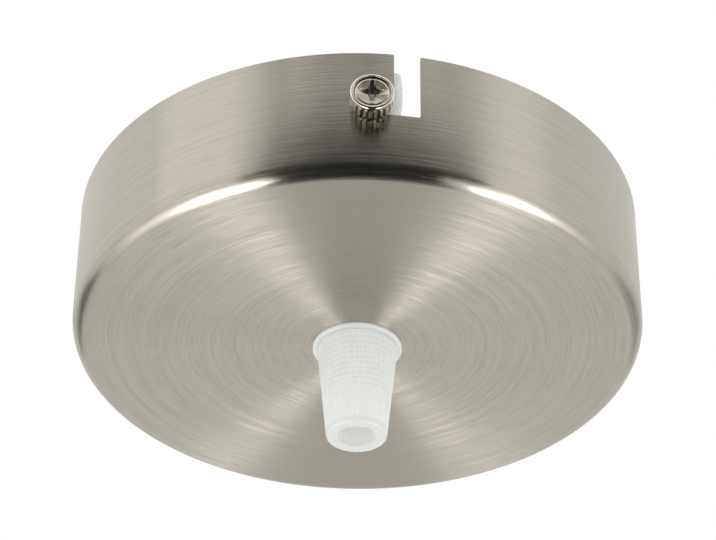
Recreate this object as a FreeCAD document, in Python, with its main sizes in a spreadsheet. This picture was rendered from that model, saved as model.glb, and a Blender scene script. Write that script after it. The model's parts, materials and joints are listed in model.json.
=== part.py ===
import FreeCAD, Part
import math
import os
import re
import Sketcher

# Electrical ceiling rose: a spun metal canopy held to a ceiling bracket by two thumb screws in L-shaped
# slots, with a plastic cord grip at its centre. Lengths are in millimetres. The ceiling is the plane
# z = 0, the canopy hangs below it, and its axis is the Z axis. The front screw lies on the -Y side.

doc = FreeCAD.newDocument("CeilingRose")

# Driving sizes, one cell each.
SIZES = {
    # how far the outline of a cut reaches past the metal
    "cut_overshoot": 1.0,
    # canopy
    "canopy_radius": 50.0,
    "canopy_height": 25.0,
    "canopy_wall": 0.9,
    "canopy_edge_radius": 2.5,
    # L-shaped slot in the canopy's wall
    "slot_clearance": 0.2,
    "slot_offset": 5.9,
    "slot_corner_radius": 0.4,
    # side screws
    "screw_height": 10.8,
    "screw_thread_radius": 2.0,
    "screw_head_radius": 3.65,
    "screw_head_length": 3.0,
    "screw_rim_length": 0.7,
    "screw_edge_radius": 0.3,
    "screw_tip_chamfer": 0.5,
    "screw_rim_inner_radius": 3.12,
    "screw_crown_radius": 2.9,
    "screw_crown_edge_radius": 0.3,
    "screw_crown_rise": 0.25,
    "screw_groove_depth": 0.6,
    "recess_depth": 1.7,
    "recess_span": 2.9,
    "recess_tip_half": 0.35,
    "recess_root_half": 0.75,
    "recess_floor_span": 0.75,
    "recess_floor_tip_half": 0.25,
    "recess_floor_root_half": 0.4,
    "screw_end_reach": 2.0,
    "screw_head_gap": 0.15,
    "knurl_count": 19,
    "knurl_groove_radius": 0.42,
    "knurl_groove_depth": 0.22,
    # ceiling bracket
    "strap_thickness": 1.2,
    "strap_half_width": 10.0,
    "strap_corner_radius": 3.0,
    "strap_shoulder_y": 30.0,
    "arm_half_width": 4.8,
    "arm_root_radius": 2.0,
    "tab_gap": 0.6,
    "tab_bend_radius": 0.8,
    "tab_half_width": 5.2,
    "tab_shoulder_depth": 2.95,
    "tab_side_radius": 22.0,
    "tab_widest_depth": 7.6,
    "tab_below_screw": 3.8,
    "tab_top_corner_radius": 0.7,
    "tab_corner_radius": 1.6,
    "tab_neck_half_width": 3.2,
    "tab_neck_inset": 4.5,
    "tab_relief_radius": 1.0,
    "collar_height": 1.3,
    "collar_wall": 0.8,
    "cable_hole_radius": 5.25,
    "fixing_slot_spacing": 70.0,
    "fixing_slot_length": 14.0,
    "fixing_slot_half_width": 2.25,
    # running clearance of threads that are drawn without their ridges
    "thread_clearance": 0.05,
    # cord grip
    "grip_thread_radius": 5.0,
    "grip_hole_clearance": 0.2,
    "grip_bore_radius": 3.3,
    "grip_collar_radius": 7.85,
    "grip_collar_thickness": 0.7,
    "grip_collar_edge_radius": 0.3,
    "grip_thread_chamfer": 0.4,
    "grip_upper_thread_length": 7.0,
    "grip_lower_thread_length": 10.9,
    "grip_jaw_length": 3.0,
    "grip_jaw_end_radius": 4.15,
    "grip_jaw_slit_width": 1.0,
    "grip_jaw_slit_length": 5.6,
    "cap_seat_gap": 0.1,
    "cap_top_radius": 7.0,
    "cap_end_radius": 5.3,
    "cap_length": 17.9,
    "cap_groove_count": 60,
    "cap_groove_depth": 0.15,
    "cap_groove_half_width": 0.2,
    "cap_exit_radius": 3.25,
    "cap_exit_length": 3.0,
    "cap_lip_radius": 0.6,
    "cap_jaw_clearance": 0.25,
    # nut and washer of the cord grip
    "lock_washer_radius": 9.0,
    "lock_washer_thickness": 0.9,
    "lock_washer_tooth_count": 12,
    "lock_washer_notch_half_width": 0.9,
    "lock_washer_notch_depth": 1.5,
    "nut_half_flats": 7.0,
    "nut_height": 3.0,
    "nut_chamfer": 0.8,
    # terminal block
    "block_centre_y": 17.0,
    "pole_pitch": 10.0,
    "pole_half_width": 4.0,
    "block_half_depth": 9.0,
    "block_body_height": 8.0,
    "block_corner_radius": 1.2,
    "web_half_depth": 4.5,
    "chimney_height": 12.5,
    "chimney_radius": 3.1,
    "chimney_wall": 0.8,
    "tube_radius": 2.5,
    "tube_bore_radius": 1.6,
    "tube_half_length": 7.6,
    "tube_clearance": 0.1,
    "tube_cover": 1.8,
    "terminal_screw_spacing": 8.8,
    "terminal_screw_radius": 1.5,
    "terminal_screw_head_height": 2.0,
    "terminal_screw_head_clearance": 0.15,
    "terminal_screw_lift": 1.5,
    "terminal_screw_slit_width": 0.6,
    "terminal_screw_slit_depth": 0.9,
    "terminal_screw_back_off": 0.1,
    "small_screw_edge": 0.3,
    # screw that holds the block
    "fixing_screw_radius": 1.5,
    "fixing_screw_clearance": 0.15,
    "fixing_screw_head_radius": 2.75,
    "fixing_screw_head_height": 1.8,
    "fixing_screw_end_gap": 0.1,
    # earth terminal
    "earth_centre_y": -15.5,
    "earth_screw_radius": 2.0,
    "earth_screw_head_radius": 4.0,
    "earth_screw_head_height": 2.4,
    "earth_screw_slit_width": 1.0,
    "earth_screw_slit_depth": 1.2,
    "earth_washer_clearance": 0.15,
    "earth_cup_radius": 5.0,
    "earth_cup_thickness": 0.8,
    "earth_cup_lip_height": 1.0,
    "earth_lock_radius": 3.6,
    "earth_lock_thickness": 0.8,
    "earth_lock_gap": 0.6,
}

# Sizes and places that follow from the driving ones.
DERIVED = {
    "canopy_inner_radius": "canopy_radius - canopy_wall",
    "disc_outside_z": "-canopy_height",
    "disc_inside_z": "canopy_wall - canopy_height",
    "screw_axis_z": "-screw_height",
    "slot_half_width": "screw_thread_radius + slot_clearance",
    "slot_near_x": "slot_offset - slot_half_width",
    "slot_far_x": "slot_offset + slot_half_width",
    "slot_top_z": "screw_axis_z + slot_half_width",
    "slot_bottom_z": "screw_axis_z - slot_half_width",
    "screw_head_y": "canopy_radius + screw_head_gap",
    "tab_face_y": "canopy_inner_radius - tab_gap",
    "tab_inner_y": "tab_face_y - strap_thickness",
    "tab_end_z": "screw_axis_z - tab_below_screw",
    "tab_top_rise": "tab_widest_depth - tab_shoulder_depth - tab_top_corner_radius",
    "tab_end_fall": "screw_height + tab_below_screw - tab_corner_radius - tab_widest_depth",
    "tab_top_x": "tab_half_width - tab_side_radius + sqrt(tab_side_radius ^ 2 - tab_top_rise ^ 2)",
    "tab_end_x": "tab_half_width - tab_side_radius + sqrt(tab_side_radius ^ 2 - tab_end_fall ^ 2)",
    "bend_outer_radius": "tab_bend_radius + strap_thickness",
    "screw_shank_length": "screw_head_y - tab_inner_y + collar_height + screw_end_reach",
    "crown_flat_radius": "screw_crown_radius - screw_crown_edge_radius",
    "crown_arc_radius": "(crown_flat_radius ^ 2 + screw_crown_rise ^ 2) / (2 * screw_crown_rise)",
    "earth_collar_z": "-(strap_thickness + collar_height)",
    "grip_hole_radius": "grip_thread_radius + grip_hole_clearance",
    "grip_collar_z": "disc_outside_z - grip_collar_thickness",
    "stem_top_z": "disc_outside_z + grip_upper_thread_length",
    "stem_thread_end_z": "grip_collar_z - grip_lower_thread_length",
    "stem_end_z": "stem_thread_end_z - grip_jaw_length",
    "cap_top_z": "grip_collar_z - cap_seat_gap",
    "cap_end_z": "grip_collar_z - cap_length",
    "cap_bore_radius": "grip_thread_radius + thread_clearance",
    "cap_exit_z": "cap_end_z + cap_exit_length",
    "cap_cone_height": "cap_length - cap_seat_gap - cap_lip_radius",
    "cap_toe_radius": "cap_end_radius - (cap_top_radius - cap_end_radius) * cap_lip_radius / cap_cone_height",
    "washer_top_z": "disc_inside_z + lock_washer_thickness",
    "nut_corner_radius": "nut_half_flats / cos(30)",
    "pole_face_z": "-(strap_thickness + block_body_height)",
    "tube_axis_z": "-(strap_thickness + tube_cover + tube_radius)",
    "channel_radius": "tube_radius + tube_clearance",
    "chimney_bore_radius": "chimney_radius - chimney_wall",
    "terminal_screw_tip_z": "tube_axis_z - tube_bore_radius - terminal_screw_back_off",
    "terminal_screw_head_z": "tube_axis_z - tube_radius - terminal_screw_lift",
    "terminal_screw_head_radius": "chimney_bore_radius - terminal_screw_head_clearance",
    "earth_cup_z": "earth_collar_z - earth_cup_thickness",
    "earth_lock_z": "earth_cup_z - earth_lock_thickness",
}

sheet = doc.addObject("Spreadsheet::Sheet", "Sizes")
NAMES = list(SIZES) + list(DERIVED)
for row, name in enumerate(NAMES, start=1):
    sheet.set(f"A{row}", name)
    sheet.set(f"B{row}", f"={DERIVED[name]}" if name in DERIVED else str(SIZES[name]))
    sheet.setAlias(f"B{row}", name)
doc.recompute()


def bound(text):
    """The expression in which each size's name refers to its cell of the sheet."""
    return re.sub(r"[a-z][a-z0-9_]+", lambda word: f"Sizes.{word[0]}" if word[0] in NAMES else word[0], text)


def number(text):
    """The value that an expression has now."""
    return float(sheet.evalExpression(bound(text)))


def bind(item, target, text):
    """Tie a property of an object to an expression, or set it where the text is a plain number."""
    item.setExpression(target, bound(text))


# Sketches

def origin_item(body, role):
    """The body's own plane or axis with this role."""
    return next(item for item in body.Origin.OriginFeatures if item.Role == role)


def new_sketch(body, name, plane="XY_Plane", offset=None):
    """A sketch on one of the body's planes, moved along that plane's normal by an expression."""
    sketch = body.newObject("Sketcher::SketchObject", name)
    sketch.AttachmentSupport = [(origin_item(body, plane), "")]
    sketch.MapMode = "FlatFace"
    if offset is not None:
        bind(sketch, "AttachmentOffset.Base.z", offset)
    return sketch


def dimension(kind, places, text):
    """A dimension of a sketch, with the expression that it follows."""
    return Sketcher.Constraint(kind, *places, number(text)), text


def point_dimensions(edge, end, x, y):
    """The two dimensions that place one end (1 or 2) or the centre (3) of an edge."""
    return [dimension("DistanceX", (-1, 1, edge, end), x), dimension("DistanceY", (-1, 1, edge, end), y)]


def hold(sketch, dimensions):
    """Add dimensions to a sketch and tie each one to its expression."""
    first = sketch.ConstraintCount
    sketch.addConstraint([constraint for constraint, text in dimensions])
    for index, (constraint, text) in enumerate(dimensions, start=first):
        if text is not None:
            sketch.setExpression(f"Constraints[{index}]", bound(text))


def arc_between(start, end, radius):
    """The shorter arc from start to end, which turns left for a positive radius."""
    chord = end - start
    left = FreeCAD.Vector(-chord.y, chord.x, 0).normalize()
    rise = math.sqrt(max(radius * radius - chord.Length ** 2 / 4, 0))
    centre = (start + end) * 0.5 + left * math.copysign(rise, radius)
    first, last = (start, end) if radius > 0 else (end, start)
    angles = [math.atan2(point.y - centre.y, point.x - centre.x) for point in (first, last)]
    ring = Part.Circle(centre, FreeCAD.Vector(0, 0, 1), abs(radius))
    return Part.ArcOfCircle(ring, angles[0], angles[1])


def outline(sketch, points):
    """A closed outline through points given as pairs of expressions.

    A third entry makes the edge that ends at its point an arc of that radius, which turns left when the
    entry is positive and right when it starts with a minus sign.
    """
    places = [FreeCAD.Vector(number(point[0]), number(point[1]), 0) for point in points]
    first = sketch.GeometryCount
    edges = []
    begins = []
    ends = []
    for index, point in enumerate(points):
        turns_right = len(point) == 3 and point[2].startswith("-")
        if len(point) == 3:
            edges.append(arc_between(places[index - 1], places[index], number(point[2])))
        else:
            edges.append(Part.LineSegment(places[index - 1], places[index]))
        begins.append((first + index, 2 if turns_right else 1))
        ends.append((first + index, 1 if turns_right else 2))
    sketch.addGeometry(edges)
    dimensions = []
    for index, point in enumerate(points):
        following = begins[(index + 1) % len(points)]
        dimensions.append((Sketcher.Constraint("Coincident", *ends[index], *following), None))
        dimensions += point_dimensions(*ends[index], point[0], point[1])
        if len(point) == 3:
            dimensions.append(dimension("Radius", (first + index,), point[2].lstrip("-")))
    hold(sketch, dimensions)


def circle(sketch, x, y, radius):
    """A circle with its centre and radius given as expressions."""
    centre = FreeCAD.Vector(number(x), number(y), 0)
    edge = sketch.addGeometry(Part.Circle(centre, FreeCAD.Vector(0, 0, 1), number(radius)))
    hold(sketch, point_dimensions(edge, 3, x, y) + [dimension("Radius", (edge,), radius)])


def rectangle(sketch, left, right, low, high):
    """A rectangle between four expressions."""
    outline(sketch, [(left, low), (right, low), (right, high), (left, high)])


def slot_outline(sketch, x, y, half_length, half_width):
    """A slot with round ends that runs along the sketch's second axis."""
    flat = f"({half_length} - {half_width})"
    quarter = half_width
    outline(sketch, [
        (f"{x} + {half_width}", f"{y} + {flat}"),
        (x, f"{y} + {half_length}", quarter),
        (f"{x} - {half_width}", f"{y} + {flat}", quarter),
        (f"{x} - {half_width}", f"{y} - {flat}"),
        (x, f"{y} - {half_length}", quarter),
        (f"{x} + {half_width}", f"{y} - {flat}", quarter),
    ])


# Features

def new_body(name):
    """A body whose label names the sub-part."""
    body = doc.addObject("PartDesign::Body", name)
    body.Label = name
    return body


def pad(body, sketch, length, upward=True, symmetric=False):
    """Add the sketch's area, carried along its normal."""
    feature = body.newObject("PartDesign::Pad", f"{sketch.Name}_pad")
    feature.Profile = sketch
    bind(feature, "Length", length)
    feature.SideType = "Symmetric" if symmetric else "One side"
    feature.Reversed = not upward
    return feature


def pocket(body, sketch, length, upward=False, symmetric=False, taper=0.0):
    """Cut the sketch's area, carried along its normal when upward, else against it."""
    feature = body.newObject("PartDesign::Pocket", f"{sketch.Name}_cut")
    feature.Profile = sketch
    bind(feature, "Length", length)
    feature.SideType = "Symmetric" if symmetric else "One side"
    feature.Reversed = upward
    feature.TaperAngle = taper
    return feature


def turn(body, sketch):
    """Turn a half section about the sketch's upright axis."""
    feature = body.newObject("PartDesign::Revolution", f"{sketch.Name}_turned")
    feature.Profile = sketch
    feature.ReferenceAxis = (sketch, ["V_Axis"])
    feature.Angle = 360
    return feature


def loft_cut(body, first, last):
    """Cut the form that runs straight from one sketch's outline to another's."""
    feature = body.newObject("PartDesign::SubtractiveLoft", f"{first.Name}_loft")
    feature.Profile = first
    feature.Sections = [last]
    feature.Ruled = True
    return feature


def repeat_round(body, feature, count):
    """Repeat a feature evenly round the body's Z axis."""
    pattern = body.newObject("PartDesign::PolarPattern", f"{feature.Name}_round")
    pattern.Originals = [feature]
    pattern.Axis = (origin_item(body, "Z_Axis"), [""])
    pattern.Angle = 360
    pattern.setExpression("Occurrences", bound(count))
    body.Tip = pattern
    return pattern


def place(body, x="0", y="0", z="0", rotation=FreeCAD.Rotation()):
    """Put a body in its place, with its position tied to expressions."""
    body.Placement = FreeCAD.Placement(FreeCAD.Vector(number(x), number(y), number(z)), rotation)
    bind(body, "Placement.Base.x", x)
    bind(body, "Placement.Base.y", y)
    bind(body, "Placement.Base.z", z)


def make_canopy():
    """The spun cup: its turned section, the hole for the cord grip and two L-shaped slots."""
    body = new_body("canopy")
    section = new_sketch(body, "canopy_section", "XZ_Plane")
    outline(section, [
        ("grip_hole_radius", "disc_outside_z"),
        ("canopy_radius - canopy_edge_radius", "disc_outside_z"),
        ("canopy_radius", "disc_outside_z + canopy_edge_radius", "canopy_edge_radius"),
        ("canopy_radius", "0"),
        ("canopy_inner_radius", "0"),
        ("canopy_inner_radius", "disc_outside_z + canopy_edge_radius"),
        ("canopy_radius - canopy_edge_radius", "disc_inside_z", "-(canopy_edge_radius - canopy_wall)"),
        ("grip_hole_radius", "disc_inside_z"),
    ])
    turn(body, section)
    slot = new_sketch(body, "screw_slot", "XZ_Plane")
    outline(slot, [
        ("slot_near_x - slot_corner_radius", "cut_overshoot"),
        ("slot_near_x - slot_corner_radius", "0"),
        ("slot_near_x", "-slot_corner_radius", "-slot_corner_radius"),
        ("slot_near_x", "slot_top_z"),
        ("0", "slot_top_z"),
        ("-slot_half_width", "screw_axis_z", "slot_half_width"),
        ("0", "slot_bottom_z", "slot_half_width"),
        ("slot_far_x - slot_corner_radius", "slot_bottom_z"),
        ("slot_far_x", "slot_bottom_z + slot_corner_radius", "slot_corner_radius"),
        ("slot_far_x", "-slot_corner_radius"),
        ("slot_far_x + slot_corner_radius", "0", "-slot_corner_radius"),
        ("slot_far_x + slot_corner_radius", "cut_overshoot"),
    ])
    repeat_round(body, pocket(body, slot, "canopy_radius + cut_overshoot", upward=True), "2")


def make_bracket():
    """The ceiling strap: a bent strip trimmed to its outline, with tabs that take the side screws."""
    body = new_body("mounting_bracket")
    strip = new_sketch(body, "bent_strip", "YZ_Plane")
    flat_end = "tab_face_y - bend_outer_radius"
    outline(strip, [
        ("tab_face_y", "tab_end_z"),
        ("tab_face_y", "-bend_outer_radius"),
        (flat_end, "0", "bend_outer_radius"),
        (f"-({flat_end})", "0"),
        ("-tab_face_y", "-bend_outer_radius", "bend_outer_radius"),
        ("-tab_face_y", "tab_end_z"),
        ("-tab_inner_y", "tab_end_z"),
        ("-tab_inner_y", "-bend_outer_radius"),
        (f"-({flat_end})", "-strap_thickness", "-tab_bend_radius"),
        (flat_end, "-strap_thickness"),
        ("tab_inner_y", "-bend_outer_radius", "-tab_bend_radius"),
        ("tab_inner_y", "tab_end_z"),
    ])
    pad(body, strip, "2 * strap_half_width", symmetric=True)

    trim = new_sketch(body, "arm_trim")
    outside = "(strap_half_width + cut_overshoot)"
    beyond = "(tab_face_y + cut_overshoot)"
    neck_y = "(tab_face_y - tab_neck_inset)"
    for side in ("1", "-1"):
        for end in ("1", "-1"):
            left, right = ("", "-") if side == end else ("-", "")
            outline(trim, [
                (f"{side} * {outside}", f"{end} * (strap_shoulder_y - strap_corner_radius)"),
                (f"{side} * {outside}", f"{end} * {beyond}"),
                (f"{side} * tab_neck_half_width", f"{end} * {beyond}"),
                (f"{side} * tab_neck_half_width", f"{end} * ({neck_y} + tab_relief_radius)"),
                (f"{side} * (tab_neck_half_width + tab_relief_radius)", f"{end} * {neck_y}",
                 f"{left}tab_relief_radius"),
                (f"{side} * arm_half_width", f"{end} * {neck_y}"),
                (f"{side} * arm_half_width", f"{end} * (strap_shoulder_y + arm_root_radius)"),
                (f"{side} * (arm_half_width + arm_root_radius)", f"{end} * strap_shoulder_y",
                 f"{left}arm_root_radius"),
                (f"{side} * (strap_half_width - strap_corner_radius)", f"{end} * strap_shoulder_y"),
                (f"{side} * strap_half_width", f"{end} * (strap_shoulder_y - strap_corner_radius)",
                 f"{right}strap_corner_radius"),
            ])
    pocket(body, trim, "tab_shoulder_depth")

    tab = new_sketch(body, "tab_outline", "XZ_Plane")
    outer = outside
    low = "tab_end_z - cut_overshoot"
    top = "-tab_shoulder_depth"
    outline(tab, [
        (outer, top),
        ("tab_top_x - tab_top_corner_radius", top),
        ("tab_top_x", f"{top} - tab_top_corner_radius", "-tab_top_corner_radius"),
        ("tab_end_x", "tab_end_z + tab_corner_radius", "-tab_side_radius"),
        ("tab_end_x - tab_corner_radius", "tab_end_z", "-tab_corner_radius"),
        ("tab_corner_radius - tab_end_x", "tab_end_z"),
        ("-tab_end_x", "tab_end_z + tab_corner_radius", "-tab_corner_radius"),
        ("-tab_top_x", f"{top} - tab_top_corner_radius", "-tab_side_radius"),
        ("tab_top_corner_radius - tab_top_x", top, "-tab_top_corner_radius"),
        (f"-{outer}", top),
        (f"-{outer}", low),
        (outer, low),
    ])
    pocket(body, tab, "2 * canopy_radius", symmetric=True)

    collar = new_sketch(body, "tab_collar", "XZ_Plane", "tab_inner_y")
    circle(collar, "0", "screw_axis_z", "screw_thread_radius + thread_clearance + collar_wall")
    repeat_round(body, pad(body, collar, "collar_height", upward=False), "2")
    thread = new_sketch(body, "tab_thread", "XZ_Plane")
    circle(thread, "0", "screw_axis_z", "screw_thread_radius + thread_clearance")
    pocket(body, thread, "2 * canopy_radius", symmetric=True)

    earth = new_sketch(body, "earth_collar", "XY_Plane", "-strap_thickness")
    circle(earth, "0", "earth_centre_y", "earth_screw_radius + thread_clearance + collar_wall")
    pad(body, earth, "collar_height", upward=False)
    holes = new_sketch(body, "strap_holes")
    circle(holes, "0", "0", "cable_hole_radius")
    circle(holes, "0", "earth_centre_y", "earth_screw_radius + thread_clearance")
    circle(holes, "pole_pitch / 2", "block_centre_y", "fixing_screw_radius + thread_clearance")
    for side in ("1", "-1"):
        slot_outline(holes, "0", f"{side} * fixing_slot_spacing / 2", "fixing_slot_length / 2",
                     "fixing_slot_half_width")
    pocket(body, holes, "strap_thickness + collar_height + cut_overshoot")


def cross_outline(sketch, span, tip, root):
    """A cross whose arms narrow from the root's half width to the tip's; all three are expressions."""
    outline(sketch, [
        (span, f"-{tip}"), (span, tip), (root, root),
        (tip, span), (f"-{tip}", span), (f"-{root}", root),
        (f"-{span}", tip), (f"-{span}", f"-{tip}"), (f"-{root}", f"-{root}"),
        (f"-{tip}", f"-{span}"), (tip, f"-{span}"), (root, f"-{root}"),
    ])


def make_side_screw(name, angle):
    """A thumb screw, made upright with its head's inner face at z = 0, then laid along the Y axis."""
    body = new_body(name)
    section = new_sketch(body, f"{name}_section", "XZ_Plane")
    groove_z = "screw_head_length - screw_groove_depth"
    crown_z = "screw_head_length - screw_crown_rise"
    outline(section, [
        ("0", "-screw_shank_length"),
        ("screw_thread_radius - screw_tip_chamfer", "-screw_shank_length"),
        ("screw_thread_radius", "screw_tip_chamfer - screw_shank_length"),
        ("screw_thread_radius", "0"),
        ("screw_head_radius - screw_edge_radius", "0"),
        ("screw_head_radius", "screw_edge_radius", "screw_edge_radius"),
        ("screw_head_radius", "screw_head_length - screw_edge_radius"),
        ("screw_head_radius - screw_edge_radius", "screw_head_length", "screw_edge_radius"),
        ("screw_rim_inner_radius", "screw_head_length"),
        ("screw_rim_inner_radius", groove_z),
        ("screw_crown_radius", groove_z),
        ("screw_crown_radius", f"{crown_z} - screw_crown_edge_radius"),
        ("crown_flat_radius", crown_z, "screw_crown_edge_radius"),
        ("0", "screw_head_length", "crown_arc_radius"),
    ])
    turn(body, section)
    flute = new_sketch(body, f"{name}_flute")
    circle(flute, "screw_head_radius + knurl_groove_radius - knurl_groove_depth", "0", "knurl_groove_radius")
    flute_cut = pocket(body, flute, "screw_head_length - screw_rim_length", upward=True)
    repeat_round(body, flute_cut, "knurl_count")
    mouth = new_sketch(body, f"{name}_recess_mouth", "XY_Plane", "screw_head_length")
    cross_outline(mouth, "recess_span", "recess_tip_half", "recess_root_half")
    floor = new_sketch(body, f"{name}_recess_floor", "XY_Plane", "screw_head_length - recess_depth")
    cross_outline(floor, "recess_floor_span", "recess_floor_tip_half", "recess_floor_root_half")
    loft_cut(body, mouth, floor)
    facing = FreeCAD.Rotation(FreeCAD.Vector(0, 0, 1), angle)
    laid = FreeCAD.Rotation(FreeCAD.Vector(1, 0, 0), 90)
    side = "-1" if angle == 0 else "1"
    place(body, y=f"{side} * screw_head_y", z="screw_axis_z", rotation=facing.multiply(laid))


def make_grip_stem():
    """The cord grip's stem: thread above and below its collar, and jaws that the cap squeezes."""
    body = new_body("cord_grip_stem")
    section = new_sketch(body, "stem_section", "XZ_Plane")
    outline(section, [
        ("grip_bore_radius", "stem_end_z"),
        ("grip_jaw_end_radius", "stem_end_z"),
        ("grip_thread_radius", "stem_thread_end_z"),
        ("grip_thread_radius", "grip_collar_z"),
        ("grip_collar_radius - grip_collar_edge_radius", "grip_collar_z"),
        ("grip_collar_radius", "grip_collar_z + grip_collar_edge_radius", "grip_collar_edge_radius"),
        ("grip_collar_radius", "disc_outside_z"),
        ("grip_thread_radius", "disc_outside_z"),
        ("grip_thread_radius", "stem_top_z - grip_thread_chamfer"),
        ("grip_thread_radius - grip_thread_chamfer", "stem_top_z"),
        ("grip_bore_radius", "stem_top_z"),
    ])
    turn(body, section)
    for name, plane in (("slit_across", "XZ_Plane"), ("slit_along", "YZ_Plane")):
        slit = new_sketch(body, name, plane)
        rectangle(slit, "-grip_jaw_slit_width / 2", "grip_jaw_slit_width / 2",
                  "stem_end_z - cut_overshoot", "stem_end_z + grip_jaw_slit_length")
        pocket(body, slit, "4 * grip_thread_radius", symmetric=True)


def make_grip_cap():
    """The cap that screws onto the stem, with a cone inside that squeezes the jaws."""
    body = new_body("cord_grip_cap")
    section = new_sketch(body, "cap_section", "XZ_Plane")
    outline(section, [
        ("cap_exit_radius", "cap_end_z"),
        ("cap_end_radius - cap_lip_radius", "cap_end_z"),
        ("cap_end_radius", "cap_end_z + cap_lip_radius", "cap_lip_radius"),
        ("cap_top_radius", "cap_top_z"),
        ("cap_bore_radius", "cap_top_z"),
        ("cap_bore_radius", "stem_thread_end_z - cap_jaw_clearance"),
        ("grip_jaw_end_radius + cap_jaw_clearance", "stem_end_z - cap_jaw_clearance"),
        ("cap_exit_radius", "cap_exit_z"),
    ])
    turn(body, section)
    notches = []
    for name, radius, level in (("groove_top", "cap_top_radius", "cap_top_z"),
                                ("groove_toe", "cap_toe_radius", "cap_end_z")):
        notch = new_sketch(body, name, "XY_Plane", level)
        outline(notch, [
            (f"{radius} - cap_groove_depth", "0"),
            (f"{radius} + cap_groove_depth", "-2 * cap_groove_half_width"),
            (f"{radius} + cap_groove_depth", "2 * cap_groove_half_width"),
        ])
        notches.append(notch)
    repeat_round(body, loft_cut(body, *notches), "cap_groove_count")


def make_lock_washer():
    """The toothed washer between the canopy's disc and the nut."""
    body = new_body("grip_lock_washer")
    ring = new_sketch(body, "washer_ring", "XY_Plane", "disc_inside_z")
    circle(ring, "0", "0", "lock_washer_radius")
    circle(ring, "0", "0", "grip_thread_radius + 2 * thread_clearance")
    pad(body, ring, "lock_washer_thickness")
    notch = new_sketch(body, "washer_notch", "XY_Plane", "disc_inside_z")
    rectangle(notch, "lock_washer_radius - lock_washer_notch_depth", "lock_washer_radius + cut_overshoot",
              "-lock_washer_notch_half_width", "lock_washer_notch_half_width")
    cut = pocket(body, notch, "lock_washer_thickness", upward=True)
    repeat_round(body, cut, "lock_washer_tooth_count")


def make_lock_nut():
    """The nut: a turned blank with chamfered rims, cut to six flats."""
    body = new_body("grip_lock_nut")
    section = new_sketch(body, "nut_section", "XZ_Plane")
    bore = "grip_thread_radius + thread_clearance"
    rim = "nut_corner_radius - nut_chamfer"
    lower = "washer_top_z"
    upper = "washer_top_z + nut_height"
    slope = "nut_chamfer / 2"
    outline(section, [
        (bore, lower),
        (rim, lower),
        ("nut_corner_radius", f"{lower} + {slope}"),
        ("nut_corner_radius", f"{upper} - {slope}"),
        (rim, upper),
        (bore, upper),
    ])
    turn(body, section)
    flat = new_sketch(body, "nut_flat", "XY_Plane", lower)
    rectangle(flat, "nut_half_flats", "nut_corner_radius + cut_overshoot",
              "-nut_corner_radius", "nut_corner_radius")
    repeat_round(body, pocket(body, flat, "nut_height", upward=True), "6")


def make_block():
    """The terminal block's moulding: three poles joined by webs, with a chimney for each screw."""
    body = new_body("terminal_block_body")
    poles = ("-pole_pitch", "0", "pole_pitch")
    rows = ("-terminal_screw_spacing / 2", "terminal_screw_spacing / 2")

    base = new_sketch(body, "pole_outlines", "XY_Plane", "-strap_thickness")
    wide = "pole_half_width"
    deep = "block_half_depth"
    edge = "block_corner_radius"
    for pole in poles:
        outline(base, [
            (f"{pole} - {wide} + {edge}", f"-{deep}", edge),
            (f"{pole} + {wide} - {edge}", f"-{deep}"),
            (f"{pole} + {wide}", f"{edge} - {deep}", edge),
            (f"{pole} + {wide}", f"{deep} - {edge}"),
            (f"{pole} + {wide} - {edge}", deep, edge),
            (f"{pole} - {wide} + {edge}", deep),
            (f"{pole} - {wide}", f"{deep} - {edge}", edge),
            (f"{pole} - {wide}", f"{edge} - {deep}"),
        ])
    webs = new_sketch(body, "webs", "XY_Plane", "-strap_thickness")
    rectangle(webs, "-pole_pitch", "pole_pitch", "-web_half_depth", "web_half_depth")
    pad(body, webs, "block_body_height", upward=False)
    pad(body, base, "block_body_height", upward=False)

    chimneys = new_sketch(body, "chimneys", "XY_Plane", "-strap_thickness")
    shafts = new_sketch(body, "screw_shafts", "XY_Plane", "tube_axis_z")
    for pole in poles:
        for row in rows:
            circle(chimneys, pole, row, "chimney_radius")
            circle(shafts, pole, row, "chimney_bore_radius")
    pad(body, chimneys, "chimney_height", upward=False)
    pocket(body, shafts, "chimney_height")

    channels = new_sketch(body, "tube_channels", "XZ_Plane")
    for pole in poles:
        circle(channels, pole, "tube_axis_z", "channel_radius")
    pocket(body, channels, "2 * (block_half_depth + cut_overshoot)", symmetric=True)

    holes = new_sketch(body, "web_holes", "XY_Plane")
    for middle in ("-pole_pitch / 2", "pole_pitch / 2"):
        circle(holes, middle, "0", "fixing_screw_radius + fixing_screw_clearance")
    pocket(body, holes, "chimney_height + strap_thickness")
    place(body, y="block_centre_y")


def make_terminal_tube(name, pole):
    """A brass tube that takes a conductor at each end, with a threaded hole under each screw."""
    body = new_body(name)
    section = new_sketch(body, f"{name}_section", "XZ_Plane")
    circle(section, "0", "0", "tube_radius")
    circle(section, "0", "0", "tube_bore_radius")
    pad(body, section, "2 * tube_half_length", symmetric=True)
    threads = new_sketch(body, f"{name}_threads", "XY_Plane")
    for row in ("-terminal_screw_spacing / 2", "terminal_screw_spacing / 2"):
        circle(threads, "0", row, "terminal_screw_radius + thread_clearance")
    pocket(body, threads, "2 * tube_radius")
    place(body, x=pole, y="block_centre_y", z="tube_axis_z")


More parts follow.
